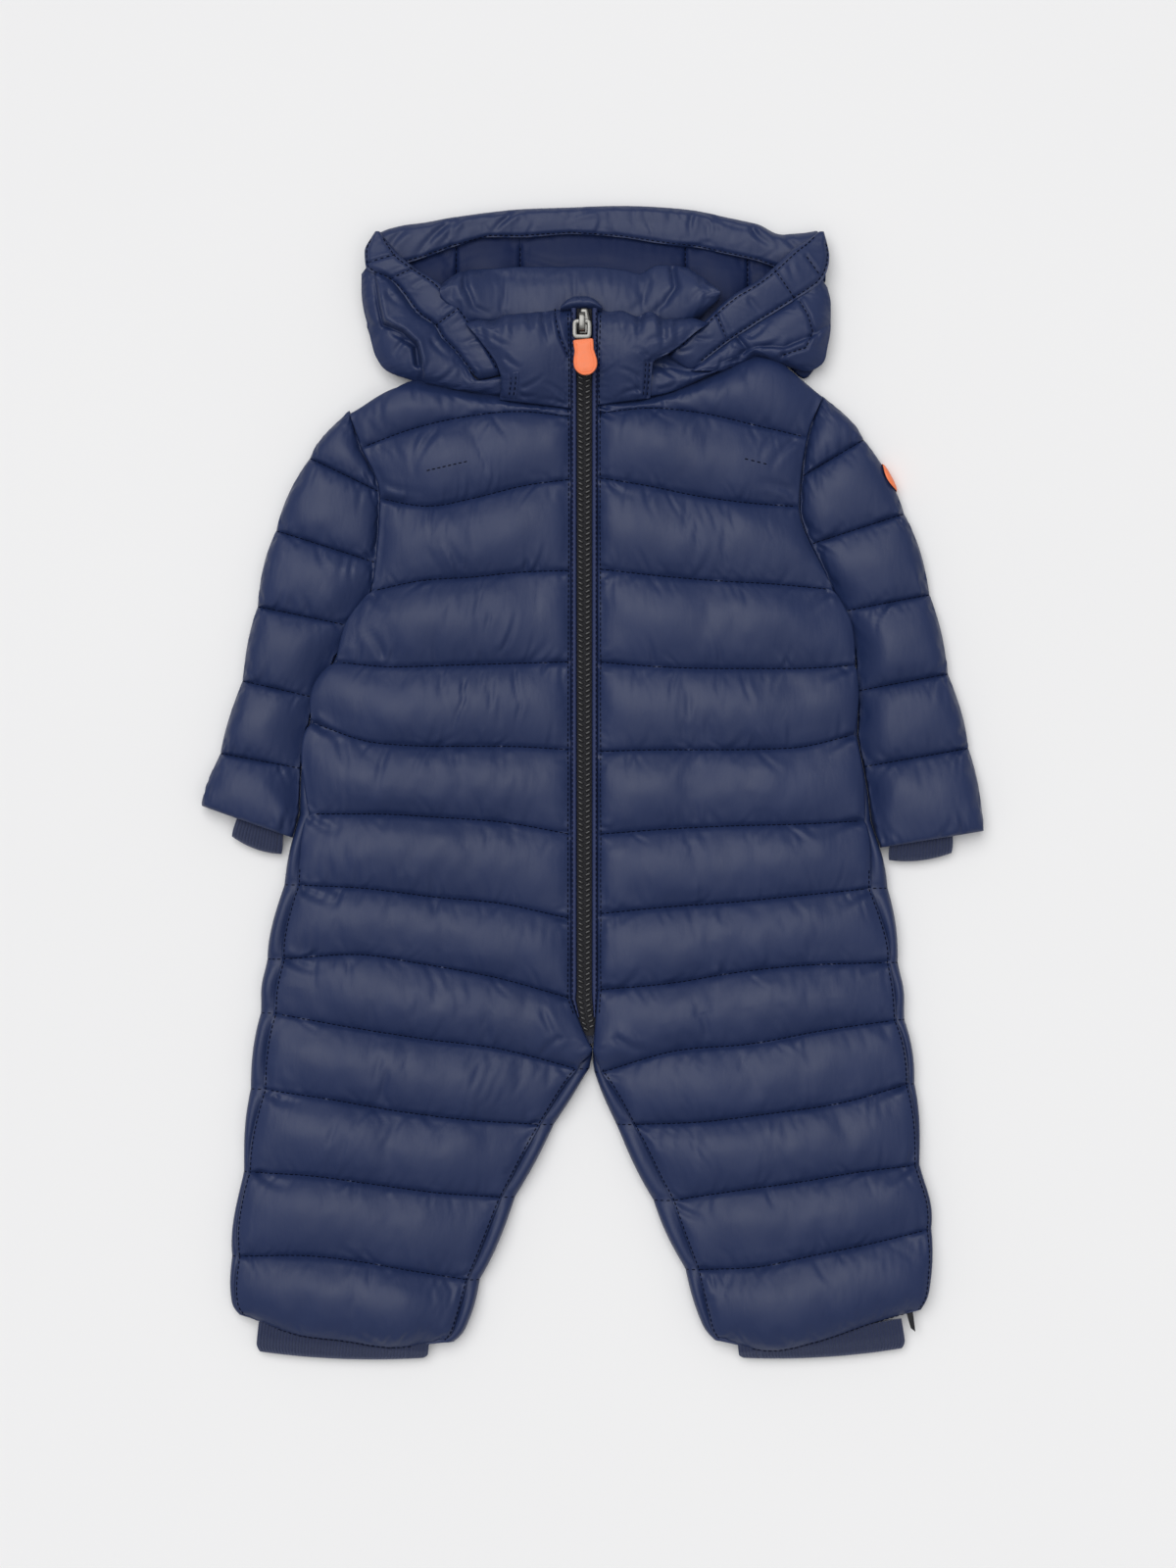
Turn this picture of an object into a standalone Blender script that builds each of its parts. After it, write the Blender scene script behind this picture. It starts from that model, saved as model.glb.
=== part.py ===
"""Hooded baby puffer snowsuit, laid flat on its back with the zip closed.

Lengths in the tables are millimetres, and the model is in metres, +Z up. The floor is z = 0, +Y runs from
the feet to the hood, and +X is the wearer's left. Each padded piece is a wall whose quilting is raised on
the outside over a plain inside. "right" and "left" are the wearer's.
"""

import math
from typing import NamedTuple

import bmesh
import bpy
from mathutils import Vector

MM = 0.001
SEAM_GAP = 0.3          # between two pieces sewn edge to edge

# Padded walls, heights above the floor
BACK_INSIDE = 10.0      # plain inside of the backs, where the fronts lie
SEWN_HEIGHT = 17.5      # outside of the fronts along a line of quilting
PUFF = 7.0              # how far a baffle's crest stands over its sewn lines
ZIP_EDGE_HEIGHT = 16.0  # outside of the fronts along the welts
SIDE_SEAM_HEIGHT = 12.5
OUTLINE_HEIGHT = 6.0    # widest point of the rounded edges
EDGE_ROUND = 4.0        # how far the flat underside stops short of the outline
SCALLOP = 1.6           # how far a free edge bulges between two sewn lines
NECK_RISE = (25, 21, 13, 1, 0)  # how far the backs' neckline lies above the fronts'

# Hems and knitted cuffs
CUFF_POCKET = (6.2, 12.6)   # inside of a hem round its cuff, lowest and highest
CUFF_LEVELS = (6.6, 12.2)   # underside and top of a knitted cuff
CUFF_WALL = 2.2

# Hood and collar
CROWN_SEWN = 7.5
CROWN_PUFF = 2.3
HOOD_INSIDE = 10.4
BAND_HEIGHT = 23.0
COLLAR_BACK_LEVELS = (10.4, 17.0)
COLLAR_FRONT_INSIDE = 22.6
COLLAR_FRONT_HEIGHT = 30.0

# Zip
TAPE_LEVELS = (13.4, 14.9)
WELT_LEVELS = (13.4, 17.6)
ZIP_TOP = 279.0
ZIP_BOTTOM = -150.0
WELT_BOTTOM = -139.0
WELT_WIDTH = 3.1
ZIP_ROWS = (-139.0, -133.0, -128.0, -122.0, 217.0, 224.0, 231.0, 239.0, 247.0, 256.0, ZIP_TOP)
SLIDER_Y = (263.0, 279.0)
SLIDER_HALF = 4.25
SLIDER_X = -5.0
SLIDER_LEVELS = (26.2, 30.8)
BRIDGE_X = -6.3
BRIDGE_HALF = 2.0
BRIDGE_Y = (264.5, 276.5)
BRIDGE_LEVELS = (30.8, 35.0)
BRIDGE_METAL = 1.4
PULL_PIVOT = (BRIDGE_X, 270.6, 32.2)
PULL_HALF = 5.8
PULL_METAL = 1.4
PULL_BAR = 2.0
PULL_SLOT_HALF = 3.0
GRIP_TOP = 260.2
GRIP_LEVELS = (30.3, 33.1)
GRIP_LENGTH = 21.2
GRIP_TILT = math.radians(5.6)
GRIP_HALF_WIDTHS = ((0.0, 5.6), (0.6, 6.0), (3.5, 5.9), (6.5, 5.7), (9.5, 6.4), (12.5, 7.0))


class QuiltLine(NamedTuple):
    """One sewn line across a front: its heights up the suit, and where it meets the panel's edges."""

    at_zip: float
    inner: float
    middle: float
    outer: float
    at_side: float
    x_zip: float
    x_seam: float
    x_outline: float
    x_leg: float


class Across(NamedTuple):
    """One row of a strip: its two ends in plan, and where a fold's trough crosses it (0 for none)."""

    x_a: float
    y_a: float
    x_b: float
    y_b: float
    trough: float = 0.0


class HoodRow(NamedTuple):
    """One row across a folded hood side: outline, band seam, free edge, and a fold's trough (0 for none)."""

    x_outline: float
    y_outline: float
    x_seam: float
    y_seam: float
    x_edge: float
    y_edge: float
    trough: float = 0.0


class Column(NamedTuple):
    """One column of a piece that runs from side to side: its place across, and its lower and upper ends."""

    x: float
    low: float
    high: float


# The first row is the neck and shoulder, the last the ankle hem, and the crotch row isn't sewn.
QUILT = {
    "right": (
        QuiltLine(220, 223, 228, 234, 218, -13, -144, -145, -13),
        QuiltLine(216, 219, 216, 209, 198, -13, -137, -138, -13),
        QuiltLine(179, 175, 168, 163, 168, -13, -126, -127, -13),
        QuiltLine(125, 124, 121, 119, 113, -13, -131, -132, -13),
        QuiltLine(71, 70, 69, 68, 71, -13, -152, -154, -13),
        QuiltLine(19, 21, 21, 23, 35, -13, -166, -168, -13),
        QuiltLine(-31, -24, -21, -19, -19, -13, -168, -174, -13),
        QuiltLine(-81, -72, -68, -63, -61, -13, -175, -183, -13),
        QuiltLine(-128, -116, -108, -102, -105, -13, -184, -193, -13),
        QuiltLine(-158, -140, -130, -124, -121, -0.2, -186, -195, -0.2),
        QuiltLine(-170, -158, -152, -145, -137, -9, -189, -197, -2),
        QuiltLine(-203, -200, -195, -188, -182, -31, -195, -203, -23),
        QuiltLine(-246, -243, -238, -233, -231, -54, -204, -207, -46),
        QuiltLine(-295, -289, -283, -280, -281, -74, -210, -214, -67),
        QuiltLine(-332, -335, -331, -327, -316, -85, -210, -213, -79),
    ),
    "left": (
        QuiltLine(222, 225, 237, 250, 228, 3, 136, 137, 3),
        QuiltLine(218, 221, 218, 211, 204, 3, 127, 128, 3),
        QuiltLine(180, 175, 169, 165, 163, 3, 122, 124, 3),
        QuiltLine(126, 122, 119, 117, 114, 3, 142, 143, 3),
        QuiltLine(71, 68, 67, 67, 69, 3, 155, 156, 3),
        QuiltLine(18, 19, 19, 20, 28, 3, 155, 157, 3),
        QuiltLine(-31, -28, -26, -25, -23, 3, 161, 165, 3),
        QuiltLine(-78, -74, -71, -67, -63, 3, 165, 175, 3),
        QuiltLine(-123, -119, -112, -108, -107, 3, 176, 181, 3),
        QuiltLine(-158, -142, -133, -128, -124, 0.2, 177, 183, 0.2),
        QuiltLine(-172, -159, -155, -147, -141, 5, 180, 185, 1),
        QuiltLine(-203, -201, -196, -190, -179, 24, 187, 191, 14),
        QuiltLine(-248, -242, -237, -231, -227, 47, 192, 194, 36),
        QuiltLine(-289, -287, -280, -273, -265, 62, 199, 201, 55),
        QuiltLine(-331, -337, -331, -321, -313, 72, 197, 198, 69),
    ),
}
CROTCH_ROW = 9

# Sleeves from the armhole's top to the hem: the outer edge, and how far down the body's edge the row ends.
SLEEVE = {
    "right": (
        Across(-147, 217, -141, 205),
        Across(-168, 192, -129, 172),
        Across(-188, 149, -133, 130),
        Across(-199, 104, -150, 92),
        Across(-208, 60, -165, 50),
        Across(-221, 17, -172, 8),
        Across(-232, -14, -180, -33),
    ),
    "left": (
        Across(139, 226, 132, 214),
        Across(161, 203, 124, 181),
        Across(185, 159, 129, 141),
        Across(200, 111, 151, 101),
        Across(211, 64, 157, 54),
        Across(223, 20, 161, 9),
        Across(232, -29, 172, -39),
    ),
}
SLEEVE_SEWN = 14.0
SLEEVE_PUFF = 6.0
SLEEVE_HEM = 17.5       # the hem stands open round the knitted cuff
SLEEVE_SLIT = (7.0, 8.4)

# Knitted cuffs: the end inside the hem, then the free end.
WRIST_CUFF = {
    "right": (Across(-208, -13.5, -183, -23), Across(-215, -32, -184, -43)),
    "left": (Across(213, -20.5, 177, -27), Across(214, -42, 175, -46.5)),
}
ANKLE_CUFF = {
    "right": (Across(-198, -320, -97, -333), Across(-200, -338, -98, -342)),
    "left": (Across(183, -318, 86, -334), Across(186, -336, 87, -342)),
}

CROWN = (
    Column(-134, 270, 297), Column(-128, 253, 302), Column(-114, 241, 305), Column(-100, 246, 309),
    Column(-81, 247, 316), Column(-62, 248, 321), Column(-43, 248, 321), Column(-13, 248, 323),
    Column(17, 248, 321), Column(43, 249, 317), Column(55, 251, 316), Column(73, 252, 313),
    Column(92, 254, 309), Column(108, 254, 303), Column(126, 240, 298), Column(134, 249, 295),
    Column(138, 262, 292),
)
CROWN_SEAMS = (-81, -43, 55, 92)
TOP_BAND = (
    Column(-134, 306, 311), Column(-128, 306, 325), Column(-114, 307, 330), Column(-100, 311, 332),
    Column(-84, 317, 335), Column(-62, 323, 338), Column(-42, 323, 340), Column(-13, 325, 341),
    Column(17, 323, 342), Column(43, 319, 341), Column(62, 317, 339), Column(80, 313, 335),
    Column(98, 309, 331), Column(112, 304, 325), Column(126, 300, 326), Column(134, 298, 327),
    Column(138, 297, 311),
)
# The hood folds in at each side: its outline, the seam where the edge band starts, and the band's free edge.
HOOD_ROWS = {
    "right": (
        HoodRow(-137, 301, -134, 304, -114, 311), HoodRow(-137, 292, -120, 297, -104, 303, 0.45),
        HoodRow(-136, 281, -112, 288, -91, 295, 0.4), HoodRow(-133, 269, -104, 277, -81, 285, 0.36),
        HoodRow(-131, 260, -94, 270, -75, 277, 0.6), HoodRow(-128, 251, -89, 262, -68, 267, 0.66),
        HoodRow(-121, 243, -82, 255, -62, 258, 0.5), HoodRow(-103, 237, -75, 247, -57, 250, 0.3),
        HoodRow(-80, 232, -68, 240, -54, 243),
    ),
    "left": (
        HoodRow(139, 293, 136, 297, 118, 315), HoodRow(141, 283, 121, 286, 108, 305, 0.4),
        HoodRow(141, 270, 110, 279, 97, 296, 0.35), HoodRow(139, 257, 97, 271, 85, 289, 0.3),
        HoodRow(137, 249, 94, 269, 81, 286), HoodRow(127, 243.5, 90, 266.5, 76, 282),
        HoodRow(112, 247, 86, 264, 71, 277), HoodRow(98, 252.5, 80, 261.5, 63, 269.5),
        HoodRow(87, 251, 73, 258, 53, 261), HoodRow(80, 248, 60, 250, 46, 252),
    ),
}
BAND_START = {
    "right": (Across(-129, 326, -126, 326), Across(-135, 314, -119, 317)),
    "left": (Across(137, 326, 134, 326), Across(140, 311, 126, 320)),
}
HOOD_FOOT = Across(-57, 230, -57, 240)   # the right side panel's end beside the collar
COLLAR = {
    "right": (
        Across(-13, 221, -55, 226), Across(-13, 235, -54, 236), Across(-13, 247, -54, 246),
        Across(-13, 264, -63, 262), Across(-13, 280, -71, 274),
    ),
    "left": (
        Across(3, 223, 34, 227), Across(3, 236, 34.5, 237), Across(3, 247, 35.5, 247),
        Across(3, 256, 44, 254.5), Across(3, 266, 55, 264.5), Across(3, 279, 65, 273),
    ),
}
COLLAR_BACK = (
    Column(-76, 283, 297), Column(-68, 277, 303), Column(-58, 264, 304), Column(-42, 258, 305),
    Column(-17, 256, 305), Column(1, 256, 305), Column(20, 256, 303), Column(27, 257, 301),
    Column(39, 258, 306), Column(54, 266, 305), Column(65, 276, 299), Column(75, 286, 291),
)
RIGHT_TAB_SPAN = (0.7, 0.97)   # share of the right collar's width that the hood's tab covers
RIGHT_TAB_REACH = (0.06, 0.4)  # and of its height
LEFT_TAB = (
    Column(36, 228.5, 246), Column(45, 230.5, 244.5), Column(57, 235, 242), Column(69, 240.5, 243),
    Column(78, 245, 246.5),
)
GUARD = (
    Column(-19, 279.8, 282.6), Column(-15, 280.2, 284.8), Column(-9.5, 280.3, 286.2),
    Column(-4, 280.3, 286.2),
    Column(1.5, 280.2, 284.8), Column(5.5, 279.3, 282.4),
)
GUARD_LEVELS = (22.6, 28.5)
HEM_TAB_LOW, HEM_TAB_HIGH = (187.6, -326.0, 8.0), (191.2, -315.6, 9.2)
PATCH_STATIONS = (1.34, 1.7)
PATCH_ANGLES = (142.0, 178.0)
PATCH_LEVELS = (0.5, 1.5)

# Steps of the grids
BAFFLE_STEPS = (0.0, 0.28, 0.72)
FRONT_SHARES = (0.0, 0.08, 0.25, 0.45, 0.65, 0.82, 0.92, 1.0)
SIDE_SIGN = {"right": -1, "left": 1}
RING_POINTS = 12
SLEEVE_GAP = 1.2
SLEEVE_SIDE_WALL = 3.0


def lerp(a: float, b: float, t: float) -> float:
    """Returns the value a share t of the way from a to b."""
    return a + (b - a) * t


def even_slope(step_before: float, step_after: float) -> float:
    """Returns a curve's slope at a value between two steps, held down so that it never overshoots."""
    if step_before * step_after <= 0:
        return 0.0
    least = min(abs(step_before), abs(step_after))
    return math.copysign(min(abs(step_before + step_after) / 2, 2 * least), step_before)


def smooth(values: list, position: float) -> float:
    """Reads a smooth curve through evenly spaced values, at a position counted in values."""
    steps = [after - before for before, after in zip(values, values[1:])]
    index = min(int(position), len(steps) - 1)
    t = position - index
    slope_start = even_slope(steps[max(index - 1, 0)], steps[index])
    slope_end = even_slope(steps[index], steps[min(index + 1, len(steps) - 1)])
    return (
        values[index] * (2 * t ** 3 - 3 * t ** 2 + 1) + slope_start * (t ** 3 - 2 * t ** 2 + t)
        + values[index + 1] * (3 * t ** 2 - 2 * t ** 3) + slope_end * (t ** 3 - t ** 2)
    )


def ramp(low: float, high: float, value: float) -> float:
    """Returns 0 below low, 1 above high, and an even rise between them."""
    return min(max((value - low) / (high - low), 0.0), 1.0)


def make_finish(name: str, colour: tuple, roughness: float, metallic: float = 0.0) -> bpy.types.Material:
    """Returns a Principled material with one colour."""
    finish = bpy.data.materials.new(name)
    finish.use_nodes = True
    shader = finish.node_tree.nodes["Principled BSDF"]
    shader.inputs["Base Color"].default_value = (*colour, 1.0)
    shader.inputs["Roughness"].default_value = roughness
    shader.inputs["Metallic"].default_value = metallic
    return finish


def add_object(name: str, bm: bmesh.types.BMesh, finish: bpy.types.Material, parent=None) -> bpy.types.Object:
    """Turns a bmesh in millimetres into an object of the suit's collection."""
    bmesh.ops.recalc_face_normals(bm, faces=bm.faces)
    if bm.calc_volume(signed=True) < 0:
        bmesh.ops.reverse_faces(bm, faces=bm.faces)
    bmesh.ops.scale(bm, vec=(MM, MM, MM), verts=bm.verts)
    mesh = bpy.data.meshes.new(name)
    bm.to_mesh(mesh)
    bm.free()
    mesh.materials.append(finish)
    mesh.shade_smooth()
    mesh.set_sharp_from_angle(angle=math.radians(50))
    piece = bpy.data.objects.new(name, mesh)
    bpy.data.collections["puffer_snowsuit"].objects.link(piece)
    piece.parent = parent
    if parent is not None:
        piece.matrix_parent_inverse = parent.matrix_world.inverted()
    return piece


def add_wall(name: str, upper: list, lower: list, finish: bpy.types.Material) -> bpy.types.Object:
    """Makes a closed wall between two grids of points that have the same rows and columns."""
    rows, columns = len(upper), len(upper[0])
    bm = bmesh.new()
    bmesh.ops.create_grid(bm, x_segments=columns - 1, y_segments=rows - 1, size=1.0)
    place = {}
    for vert in bm.verts:
        column = round((vert.co.x + 1) / 2 * (columns - 1))
        row = round((vert.co.y + 1) / 2 * (rows - 1))
        place[vert] = (row, column)
    faces = list(bm.faces)
    extruded = bmesh.ops.extrude_face_region(bm, geom=faces, use_keep_orig=True)
    twins = [item for item in extruded["geom"] if isinstance(item, bmesh.types.BMVert)]
    for vert in twins:
        column = round((vert.co.x + 1) / 2 * (columns - 1))
        row = round((vert.co.y + 1) / 2 * (rows - 1))
        vert.co = upper[row][column]
    for vert, (row, column) in place.items():
        vert.co = lower[row][column]
    return add_object(name, bm, finish)


def add_tube(name: str, outer: list, inner: list, finish: bpy.types.Material) -> bpy.types.Object:
    """Makes a tube's wall between outer and inner rings, open at both ends."""
    bm = bmesh.new()
    shells = [[[bm.verts.new(point) for point in ring] for ring in rings] for rings in (outer, inner)]
    around = len(outer[0])
    for shell in shells:
        for first, second in zip(shell, shell[1:]):
            for k in range(around):
                bm.faces.new((first[k], first[k - 1], second[k - 1], second[k]))
    for end in (0, -1):
        for k in range(around):
            outside, inside = shells[0][end], shells[1][end]
            bm.faces.new((outside[k], outside[k - 1], inside[k - 1], inside[k]))
    return add_object(name, bm, finish)


# ---- Body: fronts and backs ----------------------------------------------------------------------------

def body_stations() -> list:
    """Returns the rows of a front or back, counted in quilt lines from the neck down."""
    last = len(QUILT["right"]) - 1
    return [baffle + step for baffle in range(last) for step in BAFFLE_STEPS] + [float(last)]


def line_height(side: str, station: float, share: float, rise: tuple = (0, 0, 0, 0, 0)) -> float:
    """Returns how far up the suit a row lies, at a share of the way from the zip to the side seam."""
    heights = []
    for k in range(5):
        column = [line[k] for line in QUILT[side]]
        column[0] += rise[k]
        heights.append(smooth(column, station))
    return smooth(heights, share * 4)


def edge_x(side: str, station: float, edge: str) -> float:
    """Returns where a row meets one of its edges: x_zip, x_seam, x_outline or x_leg."""
    values = [getattr(line, edge) for line in QUILT[side]]
    if edge in ("x_zip", "x_leg"):
        index = min(int(station), len(values) - 2)
        return lerp(values[index], values[index + 1], station - index)
    return smooth(values, station)


def baffle_of(station: float) -> tuple:
    """Returns the sewn rows above and below a row, and the share of the way between them."""
    above = min(int(station), len(QUILT["right"]) - 2)
    below = above + 1
    if above in (CROTCH_ROW - 1, CROTCH_ROW):
        above, below = CROTCH_ROW - 1, CROTCH_ROW + 1
    return above, below, (station - above) / (below - above)


def scallop(station: float) -> float:
    """Returns how far a free edge bulges beyond its sewn points, below the sleeves."""
    return SCALLOP * math.sin(math.pi * baffle_of(station)[2]) * ramp(4, 5, station)


def front_height(side: str, station: float, share: float) -> float:
    """Returns the outside height of a front: sewn lines with baffles puffed up between them."""
    at_leg = ramp(CROTCH_ROW, CROTCH_ROW + 1.5, station)
    inner_edge = lerp(ZIP_EDGE_HEIGHT, SIDE_SEAM_HEIGHT, at_leg)
    inner = 1 - ramp(0, lerp(0.1, 0.3, at_leg), share)
    outer = ramp(0.6, 1, share)
    sewn = SEWN_HEIGHT - (SEWN_HEIGHT - inner_edge) * inner ** 2
    sewn -= (SEWN_HEIGHT - SIDE_SEAM_HEIGHT) * outer ** 2
    above, below, step = baffle_of(station)
    depth = line_height(side, above, share) - line_height(side, below, share)
    fullness = ramp(4, 34, depth) * (0.25 + 0.75 * ramp(0, 0.12, share)) * (1 - 0.65 * outer ** 2)
    return sewn + PUFF * fullness * max(math.sin(math.pi * step), 0) ** 0.75


def outline_point(side: str, station: float) -> tuple:
    """Returns the body's outermost point in plan on one row."""
    sign = SIDE_SIGN[side]
    bulge = sign * scallop(station)
    narrowest = edge_x(side, station, "x_seam") + sign * (SEAM_GAP + 0.8)
    outline = sign * max(sign * edge_x(side, station, "x_outline"), sign * narrowest)
    return outline + bulge, line_height(side, station, 1)


def read_at(points: list, y: float) -> float:
    """Returns x at height y on a run of (x, y) points that goes down."""
    for (x_above, y_above), (x_below, y_below) in zip(points, points[1:]):
        if y >= y_below:
            return lerp(x_above, x_below, ramp(0, y_above - y_below, y_above - y))
    return points[-1][0]


def pocket(station: float, share: float) -> float:
    """Returns 1 where the hem stands open round the ankle cuff, and 0 where the layers lie together."""
    last = len(QUILT["right"]) - 1
    return ramp(last - 0.72, last - 0.28, station) * ramp(0, 0.08, share) * (1 - ramp(0.92, 1, share))


def add_front(side: str, finish: bpy.types.Material) -> bpy.types.Object:
    """Makes one front, body and leg in one, from the zip and inner leg to the side seam."""
    upper, lower = [], []
    for station in body_stations():
        start, end = edge_x(side, station, "x_zip"), edge_x(side, station, "x_seam")
        end += SIDE_SIGN[side] * scallop(station)
        top_row, bottom_row = [], []
        for share in FRONT_SHARES:
            x, y = lerp(start, end, share), line_height(side, station, share)
            inside = BACK_INSIDE + SEAM_GAP
            inside = lerp(inside, CUFF_POCKET[1], pocket(station, share))
            top_row.append((x, y, front_height(side, station, share)))
            bottom_row.append((x, y, inside))
        upper.append(top_row)
        lower.append(bottom_row)
    return add_wall(f"front_{side}", upper, lower, finish)


def add_back(side: str, finish: bpy.types.Material) -> bpy.types.Object:
    """Makes one back, from the centre seam and inner leg to the outline, where it wraps up to the front."""
    sign = SIDE_SIGN[side]
    upper, lower = [], []
    for station in body_stations():
        leg = ramp(CROTCH_ROW, CROTCH_ROW + 1, station)
        wrap_leg = ramp(CROTCH_ROW + 0.28, CROTCH_ROW + 1, station)
        bulge = sign * scallop(station)
        zip_end, seam = edge_x(side, station, "x_zip"), edge_x(side, station, "x_seam") + bulge
        last = outline_point(side, station)[0]
        wrap_side = ramp(2.5, 6, abs(last - seam))
        middle = sign * SEAM_GAP / 2
        if station < CROTCH_ROW:
            inner_x = [middle + sign * step for step in (0, 4, 8, 12)]
        else:
            wall = zip_end - sign * SEAM_GAP
            wall = sign * max(sign * wall, SEAM_GAP / 2 + 0.2)
            leg_edge = edge_x(side, station, "x_leg") - bulge * leg
            leg_edge = sign * max(min(sign * leg_edge, sign * wall - 0.2), SEAM_GAP / 2)
            inner_x = [leg_edge, (leg_edge + wall) / 2, wall, wall + sign * 0.1]
        outer_wall = seam + sign * SEAM_GAP
        outer_x = [outer_wall, outer_wall + sign * 0.05, (outer_wall + last) / 2, last]
        plane_x = [lerp(inner_x[3], outer_x[0], share) for share in (0.09, 0.5, 0.91)]
        rim = SIDE_SEAM_HEIGHT - 0.3
        inner_z = [lerp(BACK_INSIDE, OUTLINE_HEIGHT, leg), lerp(BACK_INSIDE, rim - 1, wrap_leg),
                   lerp(BACK_INSIDE, rim, wrap_leg), BACK_INSIDE]
        open_hem = lerp(BACK_INSIDE, CUFF_POCKET[0], pocket(station, 0.5))
        plane_z = [open_hem] * 3
        outer_z = [BACK_INSIDE, lerp(BACK_INSIDE, rim, wrap_side), lerp(BACK_INSIDE - 1, rim - 1, wrap_side),
                   OUTLINE_HEIGHT]
        across = inner_x + plane_x + outer_x
        heights = inner_z + plane_z + outer_z
        top_row, bottom_row = [], []
        floor_start = inner_x[0] + sign * EDGE_ROUND * leg
        floor_end = last - sign * EDGE_ROUND
        floor_row = [lerp(floor_start, plane_x[0], step / 4) for step in range(4)] + plane_x
        floor_row += [lerp(plane_x[2], floor_end, step / 4) for step in range(1, 5)]
        for k, (x, z) in enumerate(zip(across, heights)):
            share = min(max((x - zip_end) / (seam - zip_end), 0.0), 1.0)
            y = line_height(side, station, share, NECK_RISE)
            top_row.append((x, y, z))
            floor_x = floor_row[k]
            floor_share = min(max((floor_x - zip_end) / (seam - zip_end), 0.0), 1.0)
            bottom_row.append((floor_x, line_height(side, station, floor_share, NECK_RISE), 0.0))
        upper.append(top_row)
        lower.append(bottom_row)
    return add_wall(f"back_{side}", upper, lower, finish)


# ---- Sleeves and knitted cuffs ----------------------------------------------------------------------------

def sleeve_ends(side: str, station: float) -> tuple:
    """Returns a sleeve row's outer end, and its inner end just clear of the body's edge."""
    sign = SIDE_SIGN[side]
    rows = SLEEVE[side]
    outer = [smooth([row.x_a for row in rows], station), smooth([row.y_a for row in rows], station)]
    inner_y = smooth([row.y_b for row in rows], station)
    body = [outline_point(side, row) for row in body_stations()]
    inner_x = read_at(body, inner_y) + sign * SLEEVE_GAP
    bulge = SCALLOP * math.sin(math.pi * (station % 1))
    outer[0] += sign * bulge
    return Vector(outer), Vector((inner_x, inner_y))


def sleeve_point(side: str, station: float, angle: float) -> Vector:
    """Returns a point of a sleeve's outside: angle 0 is the body side, 90 the top, 180 the outer edge."""
    outer, inner = sleeve_ends(side, station)
    middle, half = (outer + inner) / 2, (inner - outer) / 2
    plan = middle + half * math.cos(math.radians(angle))
    rise = math.sin(math.radians(angle))
    if rise < -0.01:
        return Vector((plan.x, plan.y, 0.0))
    step = math.sin(math.pi * (station % 1))
    width = ramp(4, 22, half.length)
    hem = ramp(len(SLEEVE[side]) - 1.72, len(SLEEVE[side]) - 1.28, station)
    sewn = lerp(SLEEVE_SEWN, SLEEVE_HEM, hem)
    crest = lerp(10, sewn + SLEEVE_PUFF * (1 - 0.6 * hem) * max(step, 0) ** 0.75, width)
    round_off = max(rise, 0) ** lerp(0.7, 0.4, hem)
    return Vector((plan.x, plan.y, OUTLINE_HEIGHT + (crest - OUTLINE_HEIGHT) * round_off))


def add_sleeve(side: str, finish: bpy.types.Material) -> bpy.types.Object:
    """Makes one sleeve, a flattened tube whose hem stands open round the knitted cuff."""
    last = len(SLEEVE[side]) - 1
    stations = [row + step for row in range(last) for step in BAFFLE_STEPS] + [float(last)]
    angles = [360 / RING_POINTS * k for k in range(RING_POINTS)]
    outer_rings, inner_rings = [], []
    for station in stations:
        outer, inner = sleeve_ends(side, station)
        middle, half = (outer + inner) / 2, (inner - outer) / 2
        reach = max(half.length - SLEEVE_SIDE_WALL, 1.5) / half.length
        opening = ramp(last - 0.72, last - 0.28, station)
        low = lerp(SLEEVE_SLIT[0], CUFF_POCKET[0], opening)
        high = lerp(SLEEVE_SLIT[1], CUFF_POCKET[1], opening)
        low = lerp(5.0, low, ramp(4, 22, half.length))
        high = lerp(6.4, high, ramp(4, 22, half.length))
        ring = []
        for angle in angles:
            plan = middle + half * reach * math.cos(math.radians(angle))
            rise = math.sin(math.radians(angle))
            level = (low + high) / 2 + (high - low) / 2 * ((rise > 0.01) - (rise < -0.01))
            ring.append(Vector((plan.x, plan.y, level)))
        outer_rings.append([sleeve_point(side, station, angle) for angle in angles])
        inner_rings.append(ring)
    return add_tube(f"sleeve_{side}", outer_rings, inner_rings, finish)


def add_cuff(name: str, ends: tuple, finish: bpy.types.Material) -> bpy.types.Object:
    """Makes a knitted cuff, a flattened tube that comes out of a hem and droops to its free end."""
    around = 16
    outer_rings, inner_rings = [], []
    for share in (0.0, 0.5, 1.0):
        start = Vector((lerp(ends[0].x_a, ends[1].x_a, share), lerp(ends[0].y_a, ends[1].y_a, share)))
        end = Vector((lerp(ends[0].x_b, ends[1].x_b, share), lerp(ends[0].y_b, ends[1].y_b, share)))
        middle, half = (start + end) / 2, (end - start) / 2
        droop = 3.5 * ramp(0.5, 1, share)
        level = sum(CUFF_LEVELS) / 2 - droop
        rings = []
        for wall in (0.0, CUFF_WALL):
            ring = []
            for k in range(around):
                angle = math.tau * k / around
                across, rise = math.cos(angle), math.sin(angle)
                plan = middle + half * (half.length - wall) / half.length * across
                reach = (CUFF_LEVELS[1] - CUFF_LEVELS[0]) / 2 - wall
                height = reach * math.copysign(abs(rise) ** 0.4, rise)
                ring.append(Vector((plan.x, plan.y, level + (height if abs(rise) > 0.01 else 0.0))))
            rings.append(ring)
        outer_rings.append(rings[0])
        inner_rings.append(rings[1])
    return add_tube(name, outer_rings, inner_rings, finish)


# ---- Hood and collar --------------------------------------------------------------------------------------

def dome(share: float, power: float = 2.5) -> float:
    """Returns 0 at both edges of a strip and 1 along its middle."""
    return 1 - abs(2 * share - 1) ** power


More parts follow.
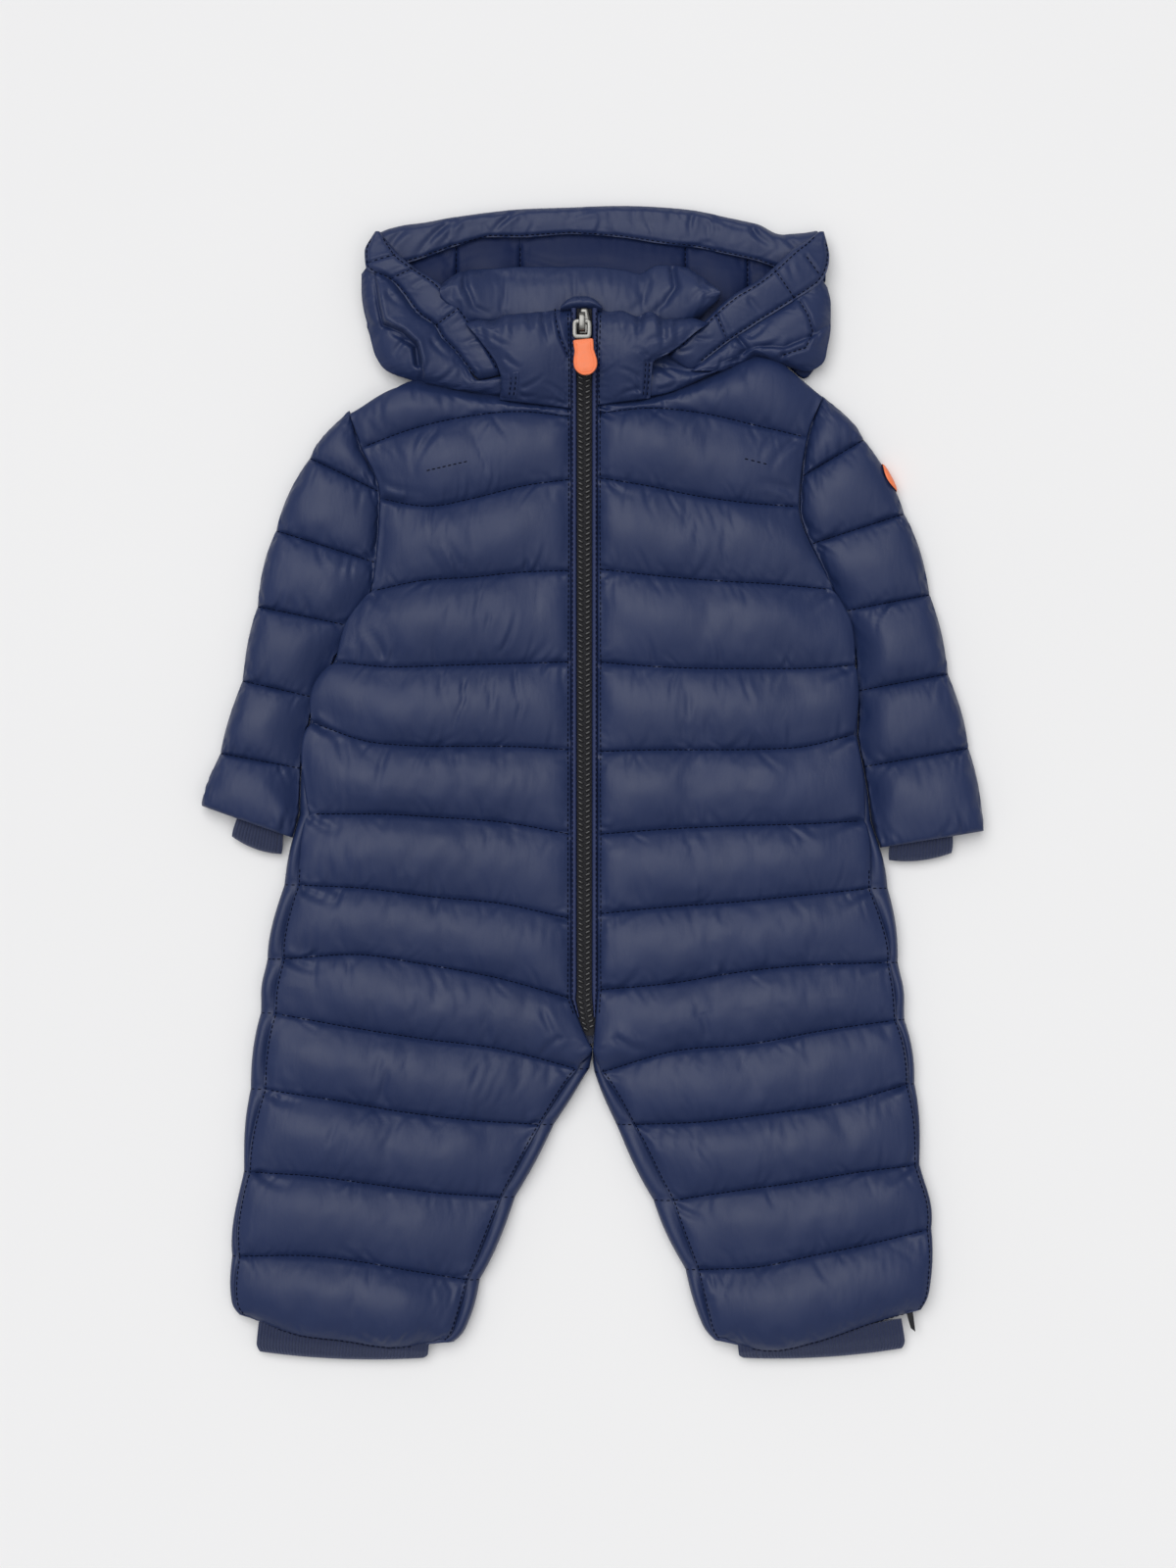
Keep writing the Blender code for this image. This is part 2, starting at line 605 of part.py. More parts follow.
def column_wall(name: str, columns: tuple, steps: int, levels, finish: bpy.types.Material,
                end_inset: float = 0.0) -> bpy.types.Object:
    """Makes a piece from its columns; levels(x, v, u) gives its underside and outside heights."""
    upper, lower = [], []
    for k, column in enumerate(columns):
        inset = end_inset * ((k == 0) - (k == len(columns) - 1))
        top_row, bottom_row = [], []
        for step in range(steps + 1):
            v = step / steps
            y = lerp(column.low, column.high, v)
            under, over = levels(column.x, v, k / (len(columns) - 1))
            top_row.append((column.x, y, over))
            bottom_row.append((column.x + inset, y, under))
        upper.append(top_row)
        lower.append(bottom_row)
    return add_wall(name, upper, lower, finish)


def across_wall(name: str, rows: list, shares: tuple, levels, finish: bpy.types.Material,
                end_inset: float = 0.0) -> bpy.types.Object:
    """Makes a strip from its rows, two steps to each; levels(v, u, trough, depth) gives its heights."""
    upper, lower = [], []
    last = len(rows) - 1
    for station in [k / 2 for k in range(2 * last + 1)]:
        index = min(int(station), last - 1)
        t = station - index
        first, second = rows[index], rows[index + 1]
        a = Vector((lerp(first.x_a, second.x_a, t), lerp(first.y_a, second.y_a, t)))
        b = Vector((lerp(first.x_b, second.x_b, t), lerp(first.y_b, second.y_b, t)))
        trough = lerp(first.trough or 0.5, second.trough or 0.5, t)
        depth = lerp(float(first.trough > 0), float(second.trough > 0), t)
        top_row, bottom_row = [], []
        for share in shares:
            under, over = levels(station / last, share, trough, depth)
            room = 0.8 * shares[1] * (b - a).length
            pull = min(end_inset, room) * (share == 0)
            plan = a.lerp(b, share)
            low_plan = plan + (b - a).normalized() * pull
            top_row.append((plan.x, plan.y, over))
            bottom_row.append((low_plan.x, low_plan.y, under))
        upper.append(top_row)
        lower.append(bottom_row)
    return add_wall(name, upper, lower, finish)


def crown_levels(x: float, v: float, u: float) -> tuple:
    """Returns the crown's heights: a lining puffed up between its sewn lines."""
    between = min(abs(x - seam) for seam in CROWN_SEAMS)
    puff = CROWN_PUFF * ramp(0, 9, between) * dome(v)
    edge = 2.5 * (u in (0, 1))
    return 0.0, CROWN_SEWN + puff - edge


def top_band_levels(x: float, v: float, u: float) -> tuple:
    """Returns the heights of the hood's edge band at the top, lower where the side bands lie over it."""
    crest = lerp(12.8, 9.6, ramp(88, 100, abs(x)))
    return 0.0, lerp(5.5, crest, dome(v, 2)) + 1.5 * (1 - v) * (u not in (0, 1))


def side_band_levels(v: float, u: float, trough: float, depth: float) -> tuple:
    """Returns the heights of a hood edge band that lies folded over the crown."""
    body = ramp(0, 0.25, v)
    edge = lerp(12.5, lerp(20, 15.5, u), body)
    crest = lerp(14, BAND_HEIGHT, body)
    return HOOD_INSIDE, lerp(edge, crest, dome(u, 2))


def hood_side_levels(v: float, u: float, trough: float, depth: float) -> tuple:
    """Returns the heights of a hood side: a roll at the outline, and a trough where the cloth folds."""
    body = ramp(0, 0.2, v) * (1 - 0.4 * ramp(0.75, 1, v))
    edge = lerp(13, 19.5, u)
    height = edge + (8.5 * body) * dome(u, 2.5) * (1 - 0.25 * u)
    fold = 5 * depth * body * math.exp(-((u - trough) / 0.12) ** 2)
    return HOOD_INSIDE, max(height - fold, 12.5)


def add_hood_sides(side: str, shell: bpy.types.Material) -> None:
    """Makes one folded hood side and the edge band beside it."""
    rows = HOOD_ROWS[side]
    band = list(BAND_START[side]) + [Across(row.x_seam, row.y_seam, row.x_edge, row.y_edge) for row in rows]
    across_wall(f"hood_band_{side}", band, (0, 0.2, 0.5, 0.8, 1), side_band_levels, shell)
    panel = []
    for row in rows:
        outline, seam = Vector((row.x_outline, row.y_outline)), Vector((row.x_seam, row.y_seam))
        seam = seam + (outline - seam).normalized() * 0.5
        panel.append(Across(outline.x, outline.y, seam.x, seam.y, row.trough))
    if side == "right":
        panel.append(HOOD_FOOT)
    shares = (0, 0.1, 0.25, 0.4, 0.55, 0.7, 0.85, 1)
    across_wall(f"hood_side_{side}", panel, shares, hood_side_levels, shell, end_inset=2.5)


def zip_rise(y: float) -> float:
    """Returns how far the zip climbs where it runs up the collar."""
    climb = ramp(219, 252, y)
    return 11 * climb * climb * (3 - 2 * climb)


def collar_levels(v: float, u: float, trough: float = 0.0, depth: float = 0.0) -> tuple:
    """Returns the heights of a collar front, which rises from the neck seam over the collar's back."""
    climb = ramp(0, 0.45, v)
    outside = lerp(18.5, COLLAR_FRONT_HEIGHT, climb * (2 - climb)) - 3.5 * ramp(0.85, 1, v)
    zip_side = ZIP_EDGE_HEIGHT + zip_rise(221 + 59 * v)
    outside = lerp(zip_side, outside, ramp(0, 0.2, u)) - 2.5 * ramp(0.8, 1, u)
    inside = lerp(HOOD_INSIDE, COLLAR_FRONT_INSIDE, ramp(0.05, 0.62, v))
    return inside, outside


def collar_point(side: str, v: float, u: float) -> Vector:
    """Returns a point of a collar front's outside."""
    rows = COLLAR[side]
    position = v * (len(rows) - 1)
    index = min(int(position), len(rows) - 2)
    t = position - index
    first, second = rows[index], rows[index + 1]
    a = Vector((lerp(first.x_a, second.x_a, t), lerp(first.y_a, second.y_a, t)))
    b = Vector((lerp(first.x_b, second.x_b, t), lerp(first.y_b, second.y_b, t)))
    plan = a.lerp(b, u)
    return Vector((plan.x, plan.y, collar_levels(v, u)[1]))


def add_right_tab(finish: bpy.types.Material) -> bpy.types.Object:
    """Makes the hood's end tab that lies stitched on the right collar, from the collar's own points."""
    upper, lower = [], []
    for v in (0, 0.33, 0.66, 1):
        reach = lerp(*RIGHT_TAB_REACH, v)
        top_row, bottom_row = [], []
        for u in (0, 0.33, 0.66, 1):
            span = lerp(RIGHT_TAB_SPAN[0] + 0.08 * v, RIGHT_TAB_SPAN[1] - 0.08 * v, u)
            point = collar_point("right", reach, span)
            top_row.append(point + Vector((0, 0, 2.4)))
            bottom_row.append(point + Vector((0, 0, 0.4)))
        upper.append(top_row)
        lower.append(bottom_row)
    return add_wall("hood_tab_right", upper, lower, finish)


# ---- Zip ---------------------------------------------------------------------------------------------------

def zip_edge(side: str, y: float) -> float:
    """Returns where the front's or collar's edge runs beside the zip at height y."""
    points = [(edge_x(side, row, "x_zip"), line_height(side, row, 0)) for row in body_stations()]
    return read_at([(points[0][0], 400.0)] + points, y)


def welt_width(y: float) -> float:
    """Returns the welt's width, which narrows to its lower end."""
    return lerp(1.0, WELT_WIDTH, ramp(WELT_BOTTOM, -124, y))


def add_welt(side: str, finish: bpy.types.Material) -> bpy.types.Object:
    """Makes the welt that covers one sewn edge of the zip."""
    sign = SIDE_SIGN[side]
    upper, lower = [], []
    for y in ZIP_ROWS:
        outer = zip_edge(side, y) - sign * SEAM_GAP
        inner = outer - sign * welt_width(y)
        rise = zip_rise(y)
        upper.append([(lerp(outer, inner, share), y, WELT_LEVELS[1] + rise - drop)
                      for share, drop in ((0, 0.9), (0.3, 0), (0.75, 0.1), (1, 1.3))])
        lower.append([(lerp(outer, inner, share), y, WELT_LEVELS[0] + rise) for share in (0, 0.3, 0.75, 1)])
    return add_wall(f"zip_welt_{side}", upper, lower, finish)


def add_tape(finish: bpy.types.Material) -> bpy.types.Object:
    """Makes the closed zip's tape, which narrows below the welts to its end at the crotch."""
    upper, lower = [], []
    for y in (ZIP_BOTTOM, (ZIP_BOTTOM + WELT_BOTTOM) / 2) + ZIP_ROWS:
        covered = welt_width(y) + SEAM_GAP if y >= WELT_BOTTOM else 0.4
        west = zip_edge("right", y) + SEAM_GAP + covered
        east = zip_edge("left", y) - SEAM_GAP - covered
        rise = zip_rise(y)
        upper.append([(lerp(west, east, share), y, TAPE_LEVELS[1] + rise) for share in (0, 0.5, 1)])
        lower.append([(lerp(west, east, share), y, TAPE_LEVELS[0] + rise) for share in (0, 0.5, 1)])
    return add_wall("zip_tape", upper, lower, finish)


def add_box(name: str, low: tuple, high: tuple, finish: bpy.types.Material,
            bevel: float = 0.0) -> bpy.types.Object:
    """Makes a box between two corners, with rounded edges."""
    bm = bmesh.new()
    bmesh.ops.create_cube(bm, size=1.0)
    for vert in bm.verts:
        vert.co = [lerp(low[k], high[k], vert.co[k] + 0.5) for k in range(3)]
    if bevel:
        bmesh.ops.bevel(bm, geom=bm.edges[:], offset=bevel, segments=2, profile=0.5, affect="EDGES")
    return add_object(name, bm, finish)


def join_box(target: bpy.types.Object, name: str, low: tuple, high: tuple, operation: str) -> None:
    """Joins a box to an object or cuts it out, with a Boolean that keeps its cutter in its own collection."""
    cutter = add_box(name, low, high, target.data.materials[0])
    bpy.data.collections["puffer_snowsuit"].objects.unlink(cutter)
    bpy.data.collections["cutters"].objects.link(cutter)
    cutter.hide_render = True
    cutter.display_type = "WIRE"
    boolean = target.modifiers.new(name, "BOOLEAN")
    boolean.operation = operation
    boolean.solver = "EXACT"
    boolean.object = cutter


def add_slider(finish: bpy.types.Material) -> bpy.types.Object:
    """Makes the zip's slider with the bridge that holds its pull."""
    slider = add_box(
        "zip_slider", (SLIDER_X - SLIDER_HALF, SLIDER_Y[0], SLIDER_LEVELS[0]),
        (SLIDER_X + SLIDER_HALF, SLIDER_Y[1], SLIDER_LEVELS[1]), finish, bevel=1.2)
    west, east = BRIDGE_X - BRIDGE_HALF, BRIDGE_X + BRIDGE_HALF
    join_box(slider, "bridge_block", (west, BRIDGE_Y[0], BRIDGE_LEVELS[0] - 1),
             (east, BRIDGE_Y[1], BRIDGE_LEVELS[1]), "UNION")
    join_box(slider, "bridge_eye", (west - 1, BRIDGE_Y[0] + BRIDGE_METAL, BRIDGE_LEVELS[0]),
             (east + 1, BRIDGE_Y[1] - BRIDGE_METAL, BRIDGE_LEVELS[1] - BRIDGE_METAL), "DIFFERENCE")
    return slider


def add_pull(metal: bpy.types.Material, rubber: bpy.types.Material) -> None:
    """Makes the pull: a metal frame that swings in the bridge, and its rubber grip."""
    pivot = bpy.data.objects.new("pull_pivot", None)
    pivot.location = Vector(PULL_PIVOT) * MM
    bpy.data.collections["puffer_snowsuit"].objects.link(pivot)
    bpy.context.view_layer.update()
    low, high = PULL_PIVOT[2] - PULL_METAL / 2, PULL_PIVOT[2] + PULL_METAL / 2
    top = PULL_PIVOT[1] + PULL_BAR / 2
    corner = GRIP_HALF_WIDTHS[0][1] * math.sin(GRIP_TILT)
    frame = add_box("pull_frame", (BRIDGE_X - PULL_HALF, GRIP_TOP + corner + SEAM_GAP, low),
                    (BRIDGE_X + PULL_HALF, top, high), metal)
    join_box(frame, "pull_slot", (BRIDGE_X - PULL_SLOT_HALF, GRIP_TOP + 2.2, low - 1),
             (BRIDGE_X + PULL_SLOT_HALF, top - PULL_BAR, high + 1), "DIFFERENCE")
    bend = frame.modifiers.new("rounded edges", "BEVEL")
    bend.width = 0.3 * MM
    bend.segments = 1
    frame.parent = pivot
    frame.matrix_parent_inverse = pivot.matrix_world.inverted()
    half_outline = list(GRIP_HALF_WIDTHS)
    end_radius = GRIP_HALF_WIDTHS[-1][1]
    end_centre = GRIP_LENGTH - end_radius
    for k in range(1, 6):
        angle = math.pi / 2 * k / 6
        half_outline.append((end_centre + end_radius * math.sin(angle), end_radius * math.cos(angle)))
    outline = [(half, -down) for down, half in half_outline] + [(0.0, -GRIP_LENGTH)]
    outline += [(-half, -down) for down, half in reversed(half_outline)]
    curve = bpy.data.curves.new("pull_grip_outline", "CURVE")
    curve.dimensions = "2D"
    curve.fill_mode = "BOTH"
    curve.extrude = (GRIP_LEVELS[1] - GRIP_LEVELS[0]) / 2 * MM
    spline = curve.splines.new("POLY")
    spline.points.add(len(outline) - 1)
    for point, (x, y) in zip(spline.points, outline):
        point.co = (x * MM, y * MM, 0.0, 1.0)
    spline.use_cyclic_u = True
    guide = bpy.data.objects.new("pull_grip_guide", curve)
    guide.location = Vector((BRIDGE_X + 0.6, GRIP_TOP, sum(GRIP_LEVELS) / 2)) * MM
    guide.rotation_euler = (0.0, 0.0, GRIP_TILT)
    bpy.data.collections["cutters"].objects.link(guide)
    bpy.context.view_layer.update()
    evaluated = guide.evaluated_get(bpy.context.evaluated_depsgraph_get())
    bm = bmesh.new()
    bm.from_mesh(bpy.data.meshes.new_from_object(evaluated))
    bmesh.ops.remove_doubles(bm, verts=bm.verts, dist=1e-6)
    bmesh.ops.transform(bm, matrix=guide.matrix_world, verts=bm.verts)
    bmesh.ops.scale(bm, vec=(1 / MM, 1 / MM, 1 / MM), verts=bm.verts)
    bpy.data.objects.remove(guide)
    add_object("pull_grip", bm, rubber, parent=pivot)


def add_patch(finish: bpy.types.Material) -> bpy.types.Object:
    """Makes the plain round patch on the left sleeve's outer side, from the sleeve's own points."""
    steps = 6
    upper, lower = [], []
    for row in range(steps + 1):
        top_row, bottom_row = [], []
        for column in range(steps + 1):
            a, b = 2 * row / steps - 1, 2 * column / steps - 1
            across, along = a * math.sqrt(1 - b * b / 2), b * math.sqrt(1 - a * a / 2)
            station = lerp(*PATCH_STATIONS, (across + 1) / 2)
            angle = lerp(*PATCH_ANGLES, (along + 1) / 2)
            point = sleeve_point("left", station, angle)
            beside = sleeve_point("left", station + 0.05, angle) - sleeve_point("left", station - 0.05, angle)
            around = sleeve_point("left", station, angle) - sleeve_point("left", station, angle - 8)
            outward = beside.cross(around).normalized()
            outward *= math.copysign(1, outward.x)
            top_row.append(point + outward * PATCH_LEVELS[1])
            bottom_row.append(point + outward * PATCH_LEVELS[0])
        upper.append(top_row)
        lower.append(bottom_row)
    return add_wall("sleeve_patch", upper, lower, finish)


def guard_levels(x: float, v: float, u: float) -> tuple:
    """Returns the chin guard's heights: a small fold over the zip's top end."""
    return GUARD_LEVELS[0], lerp(GUARD_LEVELS[0] + 2.5, GUARD_LEVELS[1], dome(v, 2)) - 1.5 * (u in (0, 1))


def collar_back_levels(x: float, v: float, u: float) -> tuple:
    """Returns the heights of the collar's back, whose inner face shows above the fronts."""
    low, high = COLLAR_BACK_LEVELS
    return low, lerp(low + 3.5, high, dome(v, 3)) - 1.5 * (u in (0, 1))


def left_tab_levels(x: float, v: float, u: float) -> tuple:
    """Returns the heights of the hood's end tab beside the left collar."""
    return HOOD_INSIDE, lerp(15.5, 21.0, dome(v, 2)) - 4 * u


def clear_scene() -> None:
    """Empties the scene and makes the suit's collection and the one for cutters."""
    for old in list(bpy.data.objects):
        bpy.data.objects.remove(old, do_unlink=True)
    for name in ("puffer_snowsuit", "cutters"):
        if name in bpy.data.collections:
            bpy.data.collections.remove(bpy.data.collections[name])
        bpy.context.scene.collection.children.link(bpy.data.collections.new(name))


def main() -> None:
    """Makes the whole suit."""
    clear_scene()
    shell = make_finish("navy_nylon", (0.042, 0.055, 0.118), 0.42)
    knit = make_finish("navy_knit", (0.024, 0.035, 0.098), 0.85)
    trim = make_finish("navy_tape", (0.03, 0.045, 0.13), 0.6)
    tape = make_finish("black_tape", (0.01, 0.01, 0.012), 0.7)
    metal = make_finish("slider_metal", (0.68, 0.68, 0.68), 0.28, 1.0)
    rubber = make_finish("orange_rubber", (0.95, 0.24, 0.09), 0.5)
    for side in ("right", "left"):
        add_front(side, shell)
        add_back(side, shell)
        add_sleeve(side, shell)
        add_cuff(f"wrist_cuff_{side}", WRIST_CUFF[side], knit)
        add_cuff(f"ankle_cuff_{side}", ANKLE_CUFF[side], knit)
        add_hood_sides(side, shell)
        across_wall(f"collar_{side}", list(COLLAR[side]), (0, 0.08, 0.3, 0.55, 0.8, 1), collar_levels, shell)
        add_welt(side, trim)
    add_tape(tape)
    column_wall("hood_crown", CROWN, 5, crown_levels, shell, end_inset=2.0)
    column_wall("hood_band_top", TOP_BAND, 4, top_band_levels, shell, end_inset=2.0)
    column_wall("collar_back", COLLAR_BACK, 4, collar_back_levels, shell)
    add_right_tab(shell)
    column_wall("hood_tab_left", LEFT_TAB, 3, left_tab_levels, shell)
    column_wall("zip_guard", GUARD, 3, guard_levels, trim)
    add_slider(metal)
    add_pull(metal, rubber)
    add_patch(rubber)
    add_box("hem_tab", HEM_TAB_LOW, HEM_TAB_HIGH, tape)


main()
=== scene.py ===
"""Hooded baby puffer snowsuit laid flat with its zip closed, seen from straight above on a pale floor.

Lengths in the tables are millimetres, as on the pattern. +Y runs from the feet to the hood, +X is the wearer's
left, and the floor is z = 0. "right" and "left" are the wearer's.
"""

import logging
import math
from dataclasses import dataclass
from enum import Enum
from typing import Callable, NamedTuple, Sequence

import bmesh
import bpy
import numpy as np
from mathutils import Matrix, Vector

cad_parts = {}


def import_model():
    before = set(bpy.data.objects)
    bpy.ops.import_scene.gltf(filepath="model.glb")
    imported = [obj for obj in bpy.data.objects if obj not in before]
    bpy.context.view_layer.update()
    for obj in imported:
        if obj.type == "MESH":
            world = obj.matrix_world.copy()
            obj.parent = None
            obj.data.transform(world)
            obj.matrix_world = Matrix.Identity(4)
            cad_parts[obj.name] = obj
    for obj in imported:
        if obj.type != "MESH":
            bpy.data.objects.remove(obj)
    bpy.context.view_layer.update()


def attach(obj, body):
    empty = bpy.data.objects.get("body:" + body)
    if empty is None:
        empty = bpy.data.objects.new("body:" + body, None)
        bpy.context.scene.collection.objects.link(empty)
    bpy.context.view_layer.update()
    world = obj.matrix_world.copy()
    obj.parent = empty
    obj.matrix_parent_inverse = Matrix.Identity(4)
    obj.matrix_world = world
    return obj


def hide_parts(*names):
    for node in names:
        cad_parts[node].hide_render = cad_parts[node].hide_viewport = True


MM = 0.001
LOG = logging.getLogger("snowsuit")
Points = np.ndarray
Material = bpy.types.Material
Piece = bpy.types.Object


class Side(Enum):
    """The wearer's two sides, with the sign of x that each has."""

    RIGHT = -1
    LEFT = 1

    @property
    def word(self) -> str:
        """Returns the side's name in lower case, as the pieces' names have it."""
        return self.name.lower()


class QuiltLine(NamedTuple):
    """One sewn line across a front: its heights up the suit, and where it meets the panel's edges."""

    at_zip: float
    inner: float
    middle: float
    outer: float
    at_side: float
    x_zip: float
    x_seam: float
    x_outline: float
    x_leg: float


class Across(NamedTuple):
    """One row of a strip: its two ends in plan."""

    x_a: float
    y_a: float
    x_b: float
    y_b: float


class HoodRow(NamedTuple):
    """One row across a folded hood side, in plan: outline, band seam and free edge."""

    x_outline: float
    y_outline: float
    x_seam: float
    y_seam: float
    x_edge: float
    y_edge: float


class Column(NamedTuple):
    """One column of a piece that runs from side to side: its place across, and its lower and upper ends."""

    x: float
    low: float
    high: float


def rows_of(kind: type, *rows: tuple) -> tuple:
    """Returns a table's plain rows as named rows of one kind."""
    return tuple(kind(*row) for row in rows)


QUILT = {
    Side.RIGHT: rows_of(
        QuiltLine, (220, 223, 228, 234, 218, -13, -144, -145, -13), (216, 219, 216, 209, 198, -13, -137, -138, -13),
        (179, 175, 168, 163, 168, -13, -126, -127, -13), (125, 124, 121, 119, 113, -13, -131, -132, -13),
        (71, 70, 69, 68, 71, -13, -152, -154, -13), (19, 21, 21, 23, 35, -13, -166, -168, -13),
        (-31, -24, -21, -19, -19, -13, -168, -174, -13), (-81, -72, -68, -63, -61, -13, -175, -183, -13),
        (-128, -116, -108, -102, -105, -13, -184, -193, -13), (-158, -140, -130, -124, -121, -0.2, -186, -195, -0.2),
        (-170, -158, -152, -145, -137, -9, -189, -197, -2), (-203, -200, -195, -188, -182, -31, -195, -203, -23),
        (-246, -243, -238, -233, -231, -54, -204, -207, -46), (-295, -289, -283, -280, -281, -74, -210, -214, -67),
        (-332, -335, -331, -327, -316, -85, -210, -213, -79),
    ),
    Side.LEFT: rows_of(
        QuiltLine, (222, 225, 237, 250, 228, 3, 136, 137, 3), (218, 221, 218, 211, 204, 3, 127, 128, 3),
        (180, 175, 169, 165, 163, 3, 122, 124, 3), (126, 122, 119, 117, 114, 3, 142, 143, 3),
        (71, 68, 67, 67, 69, 3, 155, 156, 3), (18, 19, 19, 20, 28, 3, 155, 157, 3),
        (-31, -28, -26, -25, -23, 3, 161, 165, 3), (-78, -74, -71, -67, -63, 3, 165, 175, 3),
        (-123, -119, -112, -108, -107, 3, 176, 181, 3), (-158, -142, -133, -128, -124, 0.2, 177, 183, 0.2),
        (-172, -159, -155, -147, -141, 5, 180, 185, 1), (-203, -201, -196, -190, -179, 24, 187, 191, 14),
        (-248, -242, -237, -231, -227, 47, 192, 194, 36), (-289, -287, -280, -273, -265, 62, 199, 201, 55),
        (-331, -337, -331, -321, -313, 72, 197, 198, 69),
    ),
}
CROTCH_ROW = 9
LAST_ROW = 14
NECK_RISE = (25, 21, 13, 1, 0)

BACK_INSIDE = 10.0
SEWN_HEIGHT = 17.5
PUFF = 7.0
PUFF_AT_FIRST = 0.8
ZIP_EDGE_HEIGHT = 16.0
SIDE_SEAM_HEIGHT = 12.5
OUTLINE_HEIGHT = 6.0
EDGE_ROUND = 4.0
SCALLOP = 1.6
SEAM_GAP = 0.3
HEM_CORNER = 3.2


def squarish(wave: Points, power: float = 0.5) -> Points:
    """Returns a sine or cosine flattened towards its ends, which squares off the loop it draws."""
    return np.sign(wave) * abs(wave) ** power


def lerp(a: float, b: float, t: float) -> float:
    """Returns the value a share t of the way from a to b."""
    return a + (b - a) * t


def ramp(low: float, high: float, value: Points) -> Points:
    """Returns 0 below low, 1 above high, and an even rise between them."""
    return np.clip((value - low) / (high - low), 0.0, 1.0)


def ease(low: float, high: float, value: Points) -> Points:
    """Returns a rise from 0 to 1 that starts and ends softly."""
    share = ramp(low, high, value)
    return share * share * (3 - 2 * share)


def curve(values: Sequence, at: Points) -> Points:
    """Reads a smooth curve that never overshoots, through evenly spaced values.

    Args:
        values: One value for each whole position, or one row of them for each row wanted.
        at: Positions, counted in values.

    Returns:
        One value for each position, in as many rows as the values have.
    """
    table = np.atleast_2d(np.asarray(values, float))
    at = np.asarray(at, float)
    steps = np.diff(table, axis=1)
    last = steps.shape[1] - 1
    index = np.clip(at.astype(int), 0, last)
    t = at - index

    def slope(a: Points, b: Points) -> Points:
        """Returns the even slope between two steps, held down to twice the smaller one."""
        least = np.minimum(abs(a), abs(b))
        return np.where(a * b <= 0, 0.0, np.sign(a) * np.minimum(abs(a + b) / 2, 2 * least))

    here = steps[:, index]
    start = slope(steps[:, np.maximum(index - 1, 0)], here)
    end = slope(here, steps[:, np.minimum(index + 1, last)])
    read = (
        table[:, index] * (2 * t ** 3 - 3 * t ** 2 + 1) + start * (t ** 3 - 2 * t ** 2 + t)
        + table[:, index + 1] * (3 * t ** 2 - 2 * t ** 3) + end * (t ** 3 - t ** 2)
    )
    return read[0] if np.ndim(values) == 1 else read


def ripple(x: Points, y: Points, scale: float, seed: int) -> Points:
    """Returns smooth noise from -1 to 1 at points of a plane.

    Args:
        x: First coordinate, in millimetres.
        y: Second coordinate, in millimetres.
        scale: The distance over which the noise changes.
        seed: A whole number that picks one pattern.

    Returns:
        The noise at each point.
    """
    size = 128
    table = np.random.default_rng(seed).uniform(-1, 1, (size, size))
    a, b = np.broadcast_arrays(np.asarray(x, float) / scale, np.asarray(y, float) / scale)
    i, j = np.floor(a).astype(int), np.floor(b).astype(int)
    s, t = a - i, b - j
    s, t = s * s * (3 - 2 * s), t * t * (3 - 2 * t)
    here, right, over, above = i % size, (i + 1) % size, j % size, (j + 1) % size
    near = table[here, over] * (1 - t) + table[here, above] * t
    far = table[right, over] * (1 - t) + table[right, above] * t
    return near * (1 - s) + far * s


def gathers(along: Points, away: Points, seed: int, reach: float = 7.0, pitch: float = 2.4) -> Points:
    """Returns the fine puckers that stand off a sewn line, from -1 to 1.

    Args:
        along: Distance along the line.
        away: Distance from the line.
        seed: A whole number that picks one pattern.
        reach: How far a usual pucker runs.
        pitch: About half the distance between two puckers.
    """
    length = reach * (1.0 + 0.9 * ripple(along, 0 * along, 5.0, seed + 1))
    lean = away * 0.35 * ripple(along, 0 * along, 16.0, seed + 2)
    return ripple(along + lean, away * 0.1, pitch, seed) * np.exp(-away / np.maximum(length, 1.5))


class Crease(NamedTuple):
    """A wrinkle in plan: where it starts and dies out, how deep its valley is, and half its width."""

    x_a: float
    y_a: float
    x_b: float
    y_b: float
    depth: float = 0.7
    width: float = 1.6


class Fold(NamedTuple):
    """A valley along a line of places in plan.

    Attributes:
        path: The line.
        depth: How deep the valley is.
        width: Half its width.
        sewn: Whether it carries stitches; one that doesn't dies out towards its end.
        step: How far the cloth on the line's left stands over the cloth on its right.
    """

    path: tuple
    depth: float = 2.0
    width: float = 1.8
    sewn: bool = False
    step: float = 0.0


def crease_relief(surface: Points, creases: Sequence) -> Points:
    """Returns the relief of wrinkles: each a valley between two unequal ridges, strongest near its start."""
    relief = np.zeros(surface.shape[:2])
    lowest, highest = surface[:, :, 1].min(axis=1), surface[:, :, 1].max(axis=1)
    for crease in creases:
        margin = 5 * crease.width
        near = np.nonzero((highest > min(crease.y_a, crease.y_b) - margin)
                          & (lowest < max(crease.y_a, crease.y_b) + margin))[0]
        if len(near) == 0:
            continue
        rows = slice(near[0], near[-1] + 1)
        run = np.array([crease.x_b - crease.x_a, crease.y_b - crease.y_a])
        length = np.linalg.norm(run)
        run = run / length
        to_x, to_y = surface[rows, :, 0] - crease.x_a, surface[rows, :, 1] - crease.y_a
        share = (to_x * run[0] + to_y * run[1]) / length
        bend = 0.06 * length * np.sin(np.pi * np.clip(share, 0, 1))
        off = (to_y * run[0] - to_x * run[1] + bend) / crease.width
        fade = ramp(-0.05, 0.12, share) * np.clip(1 - share, 0, 1) ** 0.7
        shape = 0.55 * np.exp(-((off - 1.9) / 1.2) ** 2) + 0.3 * np.exp(-((off + 1.9) / 1.2) ** 2)
        relief[rows] += crease.depth * fade * (shape - np.exp(-off ** 2))
    return relief


